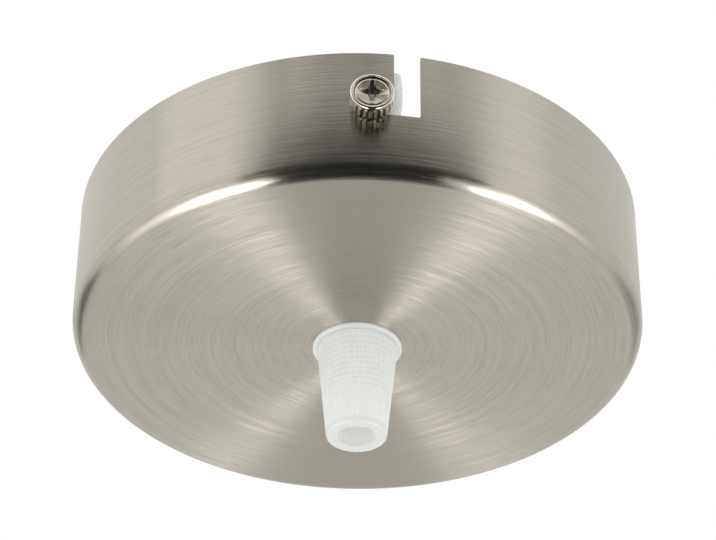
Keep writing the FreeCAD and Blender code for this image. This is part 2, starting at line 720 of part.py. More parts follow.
def make_slotted_screw(name, head_z, tip_z, radius, head_radius, head_height, slit_width, slit_depth):
    """A screw that points up, with a slotted head below; it stands at its own origin."""
    body = new_body(name)
    section = new_sketch(body, f"{name}_section", "XZ_Plane")
    outline(section, [
        ("0", f"{head_z} - {head_height}"),
        (f"{head_radius} - small_screw_edge", f"{head_z} - {head_height}"),
        (head_radius, f"{head_z} - {head_height} + small_screw_edge", "small_screw_edge"),
        (head_radius, head_z),
        (radius, head_z),
        (radius, f"{tip_z} - small_screw_edge"),
        (f"{radius} - small_screw_edge", tip_z),
        ("0", tip_z),
    ])
    turn(body, section)
    slit = new_sketch(body, f"{name}_slit", "XY_Plane", f"{head_z} - {head_height}")
    reach = f"({head_radius} + cut_overshoot)"
    rectangle(slit, f"-{reach}", reach, f"-{slit_width} / 2", f"{slit_width} / 2")
    pocket(body, slit, slit_depth, upward=True)
    return body


def make_terminal_screw(name, pole, row):
    """One clamping screw of the terminal block, backed off so that a conductor can go in."""
    body = make_slotted_screw(name, "terminal_screw_head_z", "terminal_screw_tip_z", "terminal_screw_radius",
                              "terminal_screw_head_radius", "terminal_screw_head_height",
                              "terminal_screw_slit_width", "terminal_screw_slit_depth")
    place(body, x=pole, y=f"block_centre_y + {row}")


def make_block_fixing_screw():
    """The screw through one web of the block into the strap."""
    body = make_slotted_screw("block_fixing_screw", "pole_face_z", "-fixing_screw_end_gap",
                              "fixing_screw_radius", "fixing_screw_head_radius",
                              "fixing_screw_head_height", "terminal_screw_slit_width",
                              "terminal_screw_slit_depth")
    place(body, x="pole_pitch / 2", y="block_centre_y")


def make_earth_terminal():
    """The earth screw with its cup washer and its lock washer, under the strap's collar."""
    screw = make_slotted_screw("earth_screw", "earth_lock_z", "-fixing_screw_end_gap", "earth_screw_radius",
                               "earth_screw_head_radius", "earth_screw_head_height",
                               "earth_screw_slit_width", "earth_screw_slit_depth")
    place(screw, y="earth_centre_y")
    bore = "earth_screw_radius + earth_washer_clearance"

    cup = new_body("earth_cup_washer")
    section = new_sketch(cup, "cup_section", "XZ_Plane")
    inner_lip = "earth_cup_radius - earth_cup_thickness"
    outline(section, [
        (bore, "earth_cup_z"),
        ("earth_cup_radius", "earth_cup_z"),
        ("earth_cup_radius", "earth_collar_z + earth_cup_lip_height"),
        (inner_lip, "earth_collar_z + earth_cup_lip_height"),
        (inner_lip, "earth_collar_z"),
        (bore, "earth_collar_z"),
    ])
    turn(cup, section)
    place(cup, y="earth_centre_y")

    lock = new_body("earth_lock_washer")
    ring = new_sketch(lock, "spring_ring", "XY_Plane", "earth_lock_z")
    circle(ring, "0", "0", "earth_lock_radius")
    circle(ring, "0", "0", bore)
    pad(lock, ring, "earth_lock_thickness")
    gap = new_sketch(lock, "spring_gap", "XY_Plane", "earth_lock_z")
    rectangle(gap, "-earth_lock_gap / 2", "earth_lock_gap / 2", "0", "earth_lock_radius + cut_overshoot")
    pocket(lock, gap, "earth_lock_thickness", upward=True)
    place(lock, y="earth_centre_y")


make_canopy()
make_bracket()
make_side_screw("side_screw_front", 0)
make_side_screw("side_screw_back", 180)
make_grip_stem()
make_grip_cap()
make_lock_washer()
make_lock_nut()
make_block()
for pole_name, pole_x in (("left", "-pole_pitch"), ("middle", "0"), ("right", "pole_pitch")):
    make_terminal_tube(f"terminal_tube_{pole_name}", pole_x)
    for row_name, row_y in (("feed", "terminal_screw_spacing / 2"), ("lamp", "-terminal_screw_spacing / 2")):
        make_terminal_screw(f"terminal_screw_{pole_name}_{row_name}", pole_x, row_y)
make_block_fixing_screw()
make_earth_terminal()
doc.recompute()

for item in doc.Objects:
    if "Invalid" in item.State or "Error" in item.State:
        raise RuntimeError(f"{item.Name} did not build: {item.State}")

os.makedirs("parts", exist_ok=True)
for body in doc.findObjects("PartDesign::Body"):
    shape = body.Shape
    if shape.isNull() or not shape.isValid():
        raise RuntimeError(f"{body.Label} has no valid solid")
    shape.exportStep(f"parts/{body.Label}.step")
    print(f"{body.Label}: {len(shape.Solids)} solid, {shape.Volume:.2f} mm3")
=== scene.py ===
# %% [markdown]
# # An electrical ceiling rose in brushed nickel
#
# The object is a shallow metal cup that hides the wiring where a pendant lamp hangs from a ceiling. Two
# thumb screws hold it on a bracket, and a plastic grip at its centre holds the cord. The solids come from
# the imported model, at their real size and place, and this script gives them their looks: finer surfaces
# where the eye comes close, and one procedural material for each finish.

# %% Load the frame
import json
import math

import bmesh
import bpy
import numpy as np
from mathutils import Matrix, Vector


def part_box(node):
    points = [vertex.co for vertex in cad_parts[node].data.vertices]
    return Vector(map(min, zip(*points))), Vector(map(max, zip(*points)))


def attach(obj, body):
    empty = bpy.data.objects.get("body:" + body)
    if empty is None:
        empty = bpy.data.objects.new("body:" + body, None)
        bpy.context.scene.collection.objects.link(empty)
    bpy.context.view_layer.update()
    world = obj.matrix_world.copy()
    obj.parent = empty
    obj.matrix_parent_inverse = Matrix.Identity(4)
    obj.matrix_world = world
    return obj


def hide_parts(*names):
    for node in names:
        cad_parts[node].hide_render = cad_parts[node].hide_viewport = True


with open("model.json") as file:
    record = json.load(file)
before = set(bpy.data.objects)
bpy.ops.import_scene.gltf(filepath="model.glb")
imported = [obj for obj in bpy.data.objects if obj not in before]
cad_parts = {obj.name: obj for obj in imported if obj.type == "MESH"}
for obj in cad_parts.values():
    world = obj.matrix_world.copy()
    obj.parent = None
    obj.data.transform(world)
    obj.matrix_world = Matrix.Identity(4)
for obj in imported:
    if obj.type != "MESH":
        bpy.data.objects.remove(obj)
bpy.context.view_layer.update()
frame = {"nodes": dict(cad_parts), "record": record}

# %% [markdown]
# Lengths below are written in millimetres, as on a drawing, and `MM` turns them into Blender's metres.
# What the frame already knows is read from it: a mount gives a hole's radius, and a node's box gives its
# outer size. Only what the boxes don't tell is written here.

# %% Sizes
MM = 0.001


def extent(node):
    """The lowest and highest corner of a node in millimetres, as two arrays."""
    low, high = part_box(node)
    return np.array(low) / MM, np.array(high) / MM


mounts = {mount["name"]: mount for mount in frame["record"]["mounts"]}
canopy_low, canopy_high = extent("canopy")
CANOPY_RADIUS = canopy_high[0]
CANOPY_HEIGHT = -canopy_low[2]
COLLAR_THICKNESS = 0.7
COLLAR_TOP = -CANOPY_HEIGHT
COLLAR_UNDER = COLLAR_TOP - COLLAR_THICKNESS
THREAD_PITCH = 1.0
LOWER_THREAD_LENGTH = 10.9
THREAD_END = COLLAR_UNDER - LOWER_THREAD_LENGTH
cap_low, cap_high = extent("cord_grip_cap")
CAP_END = cap_low[2]
print(f"canopy: radius {CANOPY_RADIUS:.2f} mm, height {CANOPY_HEIGHT:.2f} mm")

# %% [markdown]
# The camera comes first, because every later choice is judged through it. The photo was taken from below
# and a little to the left of the front screw, from about half a metre with a long lens. The numbers here
# were found by fitting the canopy's outline: they put its rim and its lower edge where the photo has
# them. The small roll is the photo's own.

# %% Camera
CAMERA_PLACE = Vector((-14.95, -373.8, -278.5)) * MM
CAMERA_TARGET = Vector((0.02, 0.0, -8.29)) * MM
CAMERA_LENS = 129.33
CAMERA_ROLL = math.radians(0.46)


def aim(place, target, roll):
    """The matrix of a camera at place that looks at target, its picture turned by roll."""
    forward = (target - place).normalized()
    right = forward.cross(Vector((0, 0, 1))).normalized()
    up = right.cross(forward)
    turned_right = right * math.cos(roll) + up * math.sin(roll)
    turned_up = up * math.cos(roll) - right * math.sin(roll)
    axes = Matrix((turned_right, turned_up, -forward)).transposed()
    return Matrix.Translation(place) @ axes.to_4x4()


camera = bpy.data.objects.new("camera", bpy.data.cameras.new("camera"))
bpy.context.collection.objects.link(camera)
camera.matrix_world = aim(CAMERA_PLACE, CAMERA_TARGET, CAMERA_ROLL)
camera.data.lens = CAMERA_LENS
camera.data.clip_start = 0.01
bpy.context.scene.camera = camera
bpy.context.scene.view_settings.view_transform = "Standard"
print(f"camera {(CAMERA_PLACE - CAMERA_TARGET).length / MM:.0f} mm from its target")

# %% [markdown]
# A material here is a small graph of nodes. One function adds a node, sets what it is told and links what
# it is given, so that each finish reads as a list of its layers. Colours are written as the hex values
# that a picture editor shows, and one function turns them into Blender's linear values. A Mix node has a
# pair of inputs for each kind of value, and the numbers below are those of its two colours and its mixed
# colour.

# %% Material helpers
MIX_FIRST = 6
MIX_SECOND = 7
MIX_RESULT = 2


def linear(code):
    """A colour as linear red, green, blue and alpha, from its sRGB hex code.

    A low channel is divided by 12.92. A higher one has 0.055 added, is divided by 1.055, and is raised to
    the power 2.4.
    """
    channels = np.array([int(code[place:place + 2], 16) for place in (0, 2, 4)]) / 255
    low = channels / 12.92
    high = ((channels + 0.055) / 1.055) ** 2.4
    return (*np.where(channels <= 0.04045, low, high).tolist(), 1.0)


def add(tree, kind, inputs=None, **settings):
    """Add a node to a tree, set its properties, and set or link its input sockets."""
    node = tree.nodes.new(kind)
    for name, value in settings.items():
        setattr(node, name, value)
    for socket, value in (inputs or {}).items():
        if isinstance(value, bpy.types.NodeSocket):
            tree.links.new(value, node.inputs[socket])
        else:
            node.inputs[socket].default_value = value
    return node


def new_material(name):
    """A new material and its tree, emptied for its own nodes."""
    material = bpy.data.materials.new(name)
    material.use_nodes = True
    material.node_tree.nodes.clear()
    return material, material.node_tree


print(f"mid grey, 808080, is {linear('808080')[0]:.3f} in linear light")

# %% [markdown]
# Brushed nickel plate is satin because an abrasive belt ran round the turning cup and left thousands of
# fine grooves, all of them circles about its axis. Light spreads across the grooves but hardly along
# them, which draws the bright fans on the disc and the upright bands on the wall. The principled
# surface's anisotropy does this, with the tangent taken from the UV map, whose first axis runs round the
# axis. The grooves themselves are some hundredths of a millimetre wide, too fine for a picture of this
# size, so they are drawn some tenths wide, as two layers of noise: rings that go far round the axis, and
# finer, shorter streaks over them. Widths are in millimetres and arcs in radians. The grooves change the
# metal's tone, its roughness and its relief together, and more so on the disc, which a coarser belt
# finished. The disc's finish gives way to the wall's between two heights above the disc.

# %% Brushed nickel
RING_WIDTH = 0.5
RING_ARC = 1.3
STREAK_WIDTH = 0.27
STREAK_ARC = 0.13
DISC_CONTRAST = 1.55
WALL_CONTRAST = 1.0
DISC_FINISH_END = 1.0
WALL_FINISH_START = 5.0


def groove_noise(tree, around, across, arc_length, width):
    """Noise with features so wide across the grooves and so long round the axis, as a socket.

    It is read at the direction round the axis over the arc's length, lifted by the distance across the
    grooves over the width.
    """
    long_way = add(tree, "ShaderNodeVectorMath", {0: around, "Scale": 1 / arc_length}, operation="SCALE")
    steps = add(tree, "ShaderNodeMath", {0: across, 1: 1 / width}, operation="MULTIPLY")
    lifted = add(tree, "ShaderNodeCombineXYZ", {"Z": steps.outputs[0]})
    spot = add(tree, "ShaderNodeVectorMath", {0: long_way.outputs[0], 1: lifted.outputs[0]}, operation="ADD")
    noise = add(tree, "ShaderNodeTexNoise", {"Vector": spot.outputs[0], "Scale": 1.0, "Detail": 3.0,
                                             "Roughness": 0.6})
    return noise.outputs["Fac"]


def make_brushed_nickel():
    """Nickel plate on steel, brushed in circles; it reads the piece's UV map, in millimetres."""
    material, tree = new_material("brushed_nickel_plate")
    place = add(tree, "ShaderNodeTexCoord")
    flat = add(tree, "ShaderNodeVectorMath", {0: place.outputs["Object"], 1: (1, 1, 0)},
               operation="MULTIPLY")
    around = add(tree, "ShaderNodeVectorMath", {0: flat.outputs[0]}, operation="NORMALIZE")
    brushing = add(tree, "ShaderNodeUVMap", uv_map="brushing")
    across = add(tree, "ShaderNodeVectorMath", {0: brushing.outputs[0], 1: (0, 1, 0)},
                 operation="DOT_PRODUCT")
    rings = groove_noise(tree, around.outputs[0], across.outputs["Value"], RING_ARC, RING_WIDTH)
    streaks = groove_noise(tree, around.outputs[0], across.outputs["Value"], STREAK_ARC, STREAK_WIDTH)
    both = add(tree, "ShaderNodeMath", {0: rings, 1: streaks}, operation="ADD")
    centred = add(tree, "ShaderNodeMath", {0: both.outputs[0], 1: -1.0}, operation="ADD")
    split = add(tree, "ShaderNodeSeparateXYZ", {0: place.outputs["Object"]})
    contrast = add(tree, "ShaderNodeMapRange", {
        "Value": split.outputs["Z"], "From Min": (DISC_FINISH_END - CANOPY_HEIGHT) * MM,
        "From Max": (WALL_FINISH_START - CANOPY_HEIGHT) * MM, "To Min": DISC_CONTRAST,
        "To Max": WALL_CONTRAST})
    grooves = add(tree, "ShaderNodeMath", {0: centred.outputs[0], 1: contrast.outputs[0], 2: 0.5},
                  operation="MULTIPLY_ADD", use_clamp=True)
    colour = add(tree, "ShaderNodeMix", {"Factor": grooves.outputs[0], MIX_FIRST: linear("a5a095"),
                                         MIX_SECOND: linear("bbb6aa")}, data_type="RGBA")
    rough = add(tree, "ShaderNodeMapRange", {"Value": grooves.outputs[0], "To Min": 0.21, "To Max": 0.28})
    relief = add(tree, "ShaderNodeBump", {"Height": grooves.outputs[0], "Strength": 0.6,
                                          "Distance": 0.03 * MM})
    tangent = add(tree, "ShaderNodeTangent", direction_type="UV_MAP", uv_map="brushing")
    surface = add(tree, "ShaderNodeBsdfPrincipled", {
        "Base Color": colour.outputs[MIX_RESULT], "Metallic": 1.0, "Roughness": rough.outputs[0],
        "Anisotropic": 1.0, "Anisotropic Rotation": 0.25, "Normal": relief.outputs[0],
        "Tangent": tangent.outputs[0]})
    add(tree, "ShaderNodeOutputMaterial", {"Surface": surface.outputs["BSDF"]})
    return material


brushed_nickel = make_brushed_nickel()
print("made", brushed_nickel.name)

# %% [markdown]
# The side screws are plated too, but not brushed: bright nickel shows its surroundings almost like a
# mirror. A touch of roughness that varies over the surface, in clouds about a millimetre across, keeps it
# from looking like glass, and a slightly darker tone sits where the plating is thin.

# %% Bright nickel
PLATING_CLOUD_SIZE = 1.111


def make_bright_nickel():
    """Bright nickel plate on steel, as on the thumb screws: nearly a mirror, a little uneven."""
    material, tree = new_material("bright_nickel_plate")
    place = add(tree, "ShaderNodeTexCoord")
    cloud = add(tree, "ShaderNodeTexNoise", {"Vector": place.outputs["Object"], "Detail": 3.0,
                                             "Scale": 1 / (PLATING_CLOUD_SIZE * MM)})
    colour = add(tree, "ShaderNodeMix", {"Factor": cloud.outputs["Fac"], MIX_FIRST: linear("c9c2b2"),
                                         MIX_SECOND: linear("ece7da")}, data_type="RGBA")
    rough = add(tree, "ShaderNodeMapRange", {"Value": cloud.outputs["Fac"], "To Min": 0.1, "To Max": 0.2})
    relief = add(tree, "ShaderNodeBump", {"Height": cloud.outputs["Fac"], "Strength": 0.15,
                                          "Distance": 0.04 * MM})
    surface = add(tree, "ShaderNodeBsdfPrincipled", {
        "Base Color": colour.outputs[MIX_RESULT], "Metallic": 1.0, "Roughness": rough.outputs[0],
        "Normal": relief.outputs[0]})
    add(tree, "ShaderNodeOutputMaterial", {"Surface": surface.outputs["BSDF"]})
    return material


bright_nickel = make_bright_nickel()
print("made", bright_nickel.name)

# %% [markdown]
# The bracket, the nut and the small screws are steel with a thin coat of zinc. Zinc is bluish white, and
# its crystals leave faint cells of lighter and darker grey with fine pits between them. A cell pattern of
# two millimetres gives that mottling, and finer noise gives the pits. The film that keeps zinc from
# tarnishing scatters light, so the surface is matt and only partly metallic.

# %% Zinc plate
ZINC_CELL_SIZE = 2.0
ZINC_PIT_SIZE = 0.625


def make_zinc_plate():
    """Electroplated zinc on pressed steel: bluish, softly mottled, with dark pits."""
    material, tree = new_material("zinc_plated_steel")
    place = add(tree, "ShaderNodeTexCoord")
    cells = add(tree, "ShaderNodeTexVoronoi", {"Vector": place.outputs["Object"],
                                               "Scale": 1 / (ZINC_CELL_SIZE * MM)})
    pits = add(tree, "ShaderNodeTexNoise", {"Vector": place.outputs["Object"], "Detail": 5.0,
                                            "Scale": 1 / (ZINC_PIT_SIZE * MM)})
    mottle = add(tree, "ShaderNodeMath", {0: cells.outputs["Distance"], 1: 0.5, 2: pits.outputs["Fac"]},
                 operation="MULTIPLY_ADD")
    spread = add(tree, "ShaderNodeMapRange", {"Value": mottle.outputs[0], "From Min": 0.4, "From Max": 1.0})
    colour = add(tree, "ShaderNodeMix", {"Factor": spread.outputs[0], MIX_FIRST: linear("fafafa"),
                                         MIX_SECOND: linear("e4e7e9")}, data_type="RGBA")
    rough = add(tree, "ShaderNodeMapRange", {"Value": pits.outputs["Fac"], "To Min": 0.5, "To Max": 0.66})
    relief = add(tree, "ShaderNodeBump", {"Height": pits.outputs["Fac"], "Strength": 0.2,
                                          "Distance": 0.05 * MM})
    surface = add(tree, "ShaderNodeBsdfPrincipled", {
        "Base Color": colour.outputs[MIX_RESULT], "Metallic": 0.5, "Roughness": rough.outputs[0],
        "Normal": relief.outputs[0]})
    add(tree, "ShaderNodeOutputMaterial", {"Surface": surface.outputs["BSDF"]})
    return material


zinc_plate = make_zinc_plate()
print("made", zinc_plate.name)

# %% [markdown]
# Brass for terminals is drawn and turned, and has no lacquer. It is a warm yellow metal that dulls
# unevenly, in clouds of a few millimetres, where it is touched. The marks of drawing and turning are far
# too fine for the picture, so a grain a third of a millimetre wide stands for them.

# %% Brass
TARNISH_SIZE = 2.86
BRASS_GRAIN_SIZE = 0.333


def make_brass():
    """Drawn and turned brass, bare, with slight tarnish in clouds."""
    material, tree = new_material("turned_brass")
    place = add(tree, "ShaderNodeTexCoord")
    tarnish = add(tree, "ShaderNodeTexNoise", {"Vector": place.outputs["Object"], "Detail": 4.0,
                                               "Scale": 1 / (TARNISH_SIZE * MM)})
    grain = add(tree, "ShaderNodeTexNoise", {"Vector": place.outputs["Object"], "Detail": 2.0,
                                             "Scale": 1 / (BRASS_GRAIN_SIZE * MM)})
    colour = add(tree, "ShaderNodeMix", {"Factor": tarnish.outputs["Fac"], MIX_FIRST: linear("e0bf72"),
                                         MIX_SECOND: linear("b08c46")}, data_type="RGBA")
    rough = add(tree, "ShaderNodeMapRange", {"Value": tarnish.outputs["Fac"], "To Min": 0.22,
                                             "To Max": 0.42})
    relief = add(tree, "ShaderNodeBump", {"Height": grain.outputs["Fac"], "Strength": 0.15,
                                          "Distance": 0.03 * MM})
    surface = add(tree, "ShaderNodeBsdfPrincipled", {
        "Base Color": colour.outputs[MIX_RESULT], "Metallic": 1.0, "Roughness": rough.outputs[0],
        "Normal": relief.outputs[0]})
    add(tree, "ShaderNodeOutputMaterial", {"Surface": surface.outputs["BSDF"]})
    return material


turned_brass = make_brass()
print("made", turned_brass.name)

# %% [markdown]
# Where the grip's cap covers its stem, the stem's thread shows through the milky plastic as soft bands of
# shade:
# one for each turn, a pitch apart, climbing as they go round. They end where the thread does. Light that
# really crosses so thin a wall takes long to render clean, so the bands are painted shade in the cap's
# colour. At each point, the place within a turn is the height divided by the pitch, less the angle as a
# part of a turn, and a band lies where the cosine of that place is high.

# %% Painted thread shade
THREAD_FADE = 0.5


def thread_shade_bands(tree, place):
    """A factor of painted shade: 1 over each groove of the hidden thread, 0 below the thread's end."""
    split = add(tree, "ShaderNodeSeparateXYZ", {0: place.outputs["Object"]})
    angle = add(tree, "ShaderNodeMath", {0: split.outputs["Y"], 1: split.outputs["X"]}, operation="ARCTAN2")
    part_turn = add(tree, "ShaderNodeMath", {0: angle.outputs[0], 1: -1.0}, operation="MULTIPLY")
    phase = add(tree, "ShaderNodeMath", {0: split.outputs["Z"], 1: 2 * math.pi / (THREAD_PITCH * MM),
                                         2: part_turn.outputs[0]}, operation="MULTIPLY_ADD")
    wave = add(tree, "ShaderNodeMath", {0: phase.outputs[0]}, operation="COSINE")
    band = add(tree, "ShaderNodeMapRange", {"Value": wave.outputs[0], "From Min": -0.4, "From Max": 1.0},
               interpolation_type="SMOOTHSTEP")
    reach = add(tree, "ShaderNodeMapRange", {"Value": split.outputs["Z"], "From Min": THREAD_END * MM,
                                             "From Max": (THREAD_END + THREAD_FADE) * MM})
    bands = add(tree, "ShaderNodeMath", {0: band.outputs[0], 1: reach.outputs[0]}, operation="MULTIPLY")
    return bands.outputs[0]


print(f"the thread shows over {COLLAR_UNDER - THREAD_END:.1f} mm, {THREAD_PITCH:.0f} mm a turn")

# %% [markdown]
# The cord grip is moulded from natural nylon, a milky plastic that lets light in and scatters it.
# Subsurface scattering gives the milky body, and a small share of transmission gives it depth. A faint
# painted glow stands for the light that has crossed the thin walls from the far side. The end ring is thick,
# so it gets less of the painted glow. The mould leaves a soft grain less than half a millimetre wide.

# %% Milky nylon
MOULD_GRAIN_SIZE = 0.4
END_RING_LOW = 0.2
END_RING_HIGH = 1.4


def make_milky_nylon(name, paints_thread_shade):
    """Natural nylon as moulded: milky, a little clear, with a soft sheen."""
    material, tree = new_material(name)
    place = add(tree, "ShaderNodeTexCoord")
    grain = add(tree, "ShaderNodeTexNoise", {"Vector": place.outputs["Object"], "Detail": 3.0,
                                             "Scale": 1 / (MOULD_GRAIN_SIZE * MM)})
    colour = add(tree, "ShaderNodeMix", {"Factor": grain.outputs["Fac"], MIX_FIRST: linear("d9dbd8"),
                                         MIX_SECOND: linear("e2e4e1")}, data_type="RGBA")
    # The hidden thread's bands are painted shade, multiplied into the colour.
    if paints_thread_shade:
        shade = add(tree, "ShaderNodeMix", {"Factor": thread_shade_bands(tree, place), MIX_FIRST: linear("ffffff"),
                                            MIX_SECOND: linear("f5f6f4")}, data_type="RGBA")
        colour = add(tree, "ShaderNodeMix", {"Factor": 1.0, MIX_FIRST: colour.outputs[MIX_RESULT],
                                             MIX_SECOND: shade.outputs[MIX_RESULT]}, data_type="RGBA",
                     blend_type="MULTIPLY")
    split = add(tree, "ShaderNodeSeparateXYZ", {0: place.outputs["Object"]})
    # Painted glow: the emission stands for light through the thin walls, and is less on the thick end ring.
    painted_glow_fade = add(tree, "ShaderNodeMapRange", {"Value": split.outputs["Z"],
                                                "From Min": (CAP_END + END_RING_LOW) * MM,
                                                "From Max": (CAP_END + END_RING_HIGH) * MM})
    painted_glow = add(tree, "ShaderNodeMix", {"Factor": painted_glow_fade.outputs[0], MIX_FIRST: linear("5a5a5a"),
                                       MIX_SECOND: linear("ffffff")}, data_type="RGBA")
    rough = add(tree, "ShaderNodeMapRange", {"Value": grain.outputs["Fac"], "To Min": 0.34, "To Max": 0.44})
    relief = add(tree, "ShaderNodeBump", {"Height": grain.outputs["Fac"], "Strength": 0.08,
                                          "Distance": 0.03 * MM})
    surface = add(tree, "ShaderNodeBsdfPrincipled", {
        "Base Color": colour.outputs[MIX_RESULT], "Roughness": rough.outputs[0], "IOR": 1.53,
        "Transmission Weight": 0.1, "Subsurface Weight": 0.9, "Subsurface Radius": (1.0, 1.0, 0.9),
        "Subsurface Scale": 3.0 * MM, "Emission Color": painted_glow.outputs[MIX_RESULT],
        "Emission Strength": 0.145, "Normal": relief.outputs[0]})
    add(tree, "ShaderNodeOutputMaterial", {"Surface": surface.outputs["BSDF"]})
    return material


milky_nylon = make_milky_nylon("natural_nylon", False)
nylon_painted_thread_shade = make_milky_nylon("natural_nylon_painted_thread_shade", True)
print("made", milky_nylon.name, "and", nylon_painted_thread_shade.name)

# %% [markdown]
# The terminal block is moulded from polyamide too, but with filler that makes it opaque. It is an even
# off-white with a faint spark-eroded texture, drawn a quarter of a millimetre wide so that it shows, and
# its tone drifts over several millimetres.

# %% Filled polyamide
SPARK_GRAIN_SIZE = 0.25
TONE_DRIFT_SIZE = 8.33


def make_filled_polyamide():
    """Filled polyamide as moulded for terminal blocks: opaque off-white, lightly textured."""
    material, tree = new_material("filled_polyamide")
    place = add(tree, "ShaderNodeTexCoord")
    spark = add(tree, "ShaderNodeTexNoise", {"Vector": place.outputs["Object"], "Detail": 2.0,
                                             "Scale": 1 / (SPARK_GRAIN_SIZE * MM)})
    drift = add(tree, "ShaderNodeTexNoise", {"Vector": place.outputs["Object"], "Detail": 2.0,
                                             "Scale": 1 / (TONE_DRIFT_SIZE * MM)})
    colour = add(tree, "ShaderNodeMix", {"Factor": drift.outputs["Fac"], MIX_FIRST: linear("e6e5dc"),
                                         MIX_SECOND: linear("f1f0e9")}, data_type="RGBA")
    rough = add(tree, "ShaderNodeMapRange", {"Value": spark.outputs["Fac"], "To Min": 0.42, "To Max": 0.6})
    relief = add(tree, "ShaderNodeBump", {"Height": spark.outputs["Fac"], "Strength": 0.2,
                                          "Distance": 0.04 * MM})
    surface = add(tree, "ShaderNodeBsdfPrincipled", {
        "Base Color": colour.outputs[MIX_RESULT], "Roughness": rough.outputs[0],
        "Subsurface Weight": 0.15, "Subsurface Scale": 1.0 * MM, "Normal": relief.outputs[0]})
    add(tree, "ShaderNodeOutputMaterial", {"Surface": surface.outputs["BSDF"]})
    return material


filled_polyamide = make_filled_polyamide()
print("materials:", [material.name for material in bpy.data.materials])

# %% [markdown]
# Most pieces here are turned: a profile carried round an axis. A shell is made as one grid, with a row
# for each point of the profile and a column for each step round the axis. Where the radius changes along
# the way round, as on a knurl or a thread, the same grid takes a whole array of radii. The UV map keeps
# the angle in its first axis and the distance along the profile, in millimetres, in its second.
# Afterwards, doubled points are merged and every face is turned outwards.

# %% Turned shells
MERGE_DISTANCE = 0.0005
FLAT_FACE_DISTANCE = 0.0001


def tidy_mesh(mesh):
    """Merge doubled points, drop flat faces and turn every face outwards."""
    work = bmesh.new()
    work.from_mesh(mesh)
    bmesh.ops.remove_doubles(work, verts=work.verts, dist=MERGE_DISTANCE * MM)
    bmesh.ops.dissolve_degenerate(work, edges=work.edges, dist=FLAT_FACE_DISTANCE * MM)
    bmesh.ops.recalc_face_normals(work, faces=work.faces)
    work.to_mesh(mesh)
    work.free()


def turned_shell(name, radius, height, closed=True):
    """A mesh whose point in row i and column j lies at radius[i, j] and height[i, j], turned by column j.

    radius and height are arrays in millimetres with a row for each point of the profile; a closed profile
    joins its last row to its first, and an open one ends on the axis.
    """
    radius, height = np.broadcast_arrays(radius, height)
    rows, columns = radius.shape
    angle = np.linspace(0, 2 * np.pi, columns, endpoint=False)
    points = np.stack([radius * np.cos(angle), radius * np.sin(angle), height], axis=-1).reshape(-1, 3) * MM
    row = np.arange(rows if closed else rows - 1)[:, None]
    column = np.arange(columns)[None, :]
    corners = [(row, column), (row, column + 1), (row + 1, column + 1), (row + 1, column)]
    quads = np.stack([(i % rows) * columns + j % columns for i, j in corners], axis=-1).reshape(-1, 4)
    mesh = bpy.data.meshes.new(name)
    mesh.from_pydata(points, [], quads)
    mean_radius = radius.mean(axis=1)
    mean_height = height.mean(axis=1)
    steps = np.hypot(np.roll(mean_radius, -1) - mean_radius, np.roll(mean_height, -1) - mean_height)
    along = np.concatenate([[0], np.cumsum(steps)])
    flow = [(j / columns, along[i]) for i, j in corners]
    uv = np.stack([np.stack(np.broadcast_arrays(u, v), axis=-1) for u, v in flow], axis=-2)
    mesh.uv_layers.new(name="brushing").data.foreach_set("uv", uv.ravel())
    tidy_mesh(mesh)
    return mesh


# %% [markdown]
# A profile is drawn as a turner draws a template, from arcs and straight runs. A point on an arc lies at
# the centre plus the radius times the cosine of its angle outwards and the sine of its angle upwards. A
# point on a run is the start times what is left of the way plus the end times what is done of it.

# %% Profiles


def arc(centre_r, centre_z, radius, start, end, steps):
    """Points of a profile along an arc, from one angle to another in degrees; angle 0 points outwards."""
    angle = np.radians(np.linspace(start, end, steps + 1))
    return np.stack([centre_r + radius * np.cos(angle), centre_z + radius * np.sin(angle)], axis=1)


def run(start, end, steps):
    """Points of a profile along a straight run, without its last point."""
    part = np.linspace(0, 1, steps, endpoint=False)[:, None]
    return np.array(start) * (1 - part) + np.array(end) * part


print("a quarter arc in two steps:", arc(0, 0, 1, 0, 90, 2).round(2).tolist())

# %% [markdown]
# A finished mesh is shown as a piece. It is shaded smooth apart from its sharp edges, takes its material,
# rides on the body that it moves with, and stands for the CAD node whose place it takes. Its place is in
# its mesh, so the piece itself stays at the origin.

# %% Showing a piece
SHARP_ANGLE = math.radians(35)


def show(name, mesh, body, material, replaced, sharp=SHARP_ANGLE):
    """Put a mesh in the scene as a piece that rides on a body and stands for a CAD node."""
    mesh.shade_smooth()
    mesh.set_sharp_from_angle(angle=sharp)
    mesh.materials.clear()
    mesh.materials.append(material)
    piece = bpy.data.objects.new(name, mesh)
    bpy.context.collection.objects.link(piece)
    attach(piece, body)
    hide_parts(replaced)
    print(f"{name}: {len(mesh.polygons)} faces")
    return piece


# %% [markdown]
# The canopy's slots are cut out of the finished shell with a Boolean, as a press cuts them out of the real
# cup. The slits of the grip's stem are moulded, but are made the same way here. A cutter is a prism: its
# outline lies in the X-Z plane and runs along Y.

# %% Cutting


def prism(name, outline, low_y, high_y):
    """A closed prism whose outline of x and z pairs, in millimetres, runs along Y from low to high."""
    outline = np.array(outline)
    count = len(outline)
    ends = [np.column_stack([outline[:, 0], np.full(count, y), outline[:, 1]]) for y in (low_y, high_y)]
    first = np.arange(count)
    following = np.roll(first, -1)
    sides = np.column_stack([first, following, following + count, first + count])
    mesh = bpy.data.meshes.new(name)
    mesh.from_pydata(np.concatenate(ends) * MM, [], [*sides.tolist(), first[::-1].tolist(),
                                                    (first + count).tolist()])
    tidy_mesh(mesh)
    return mesh


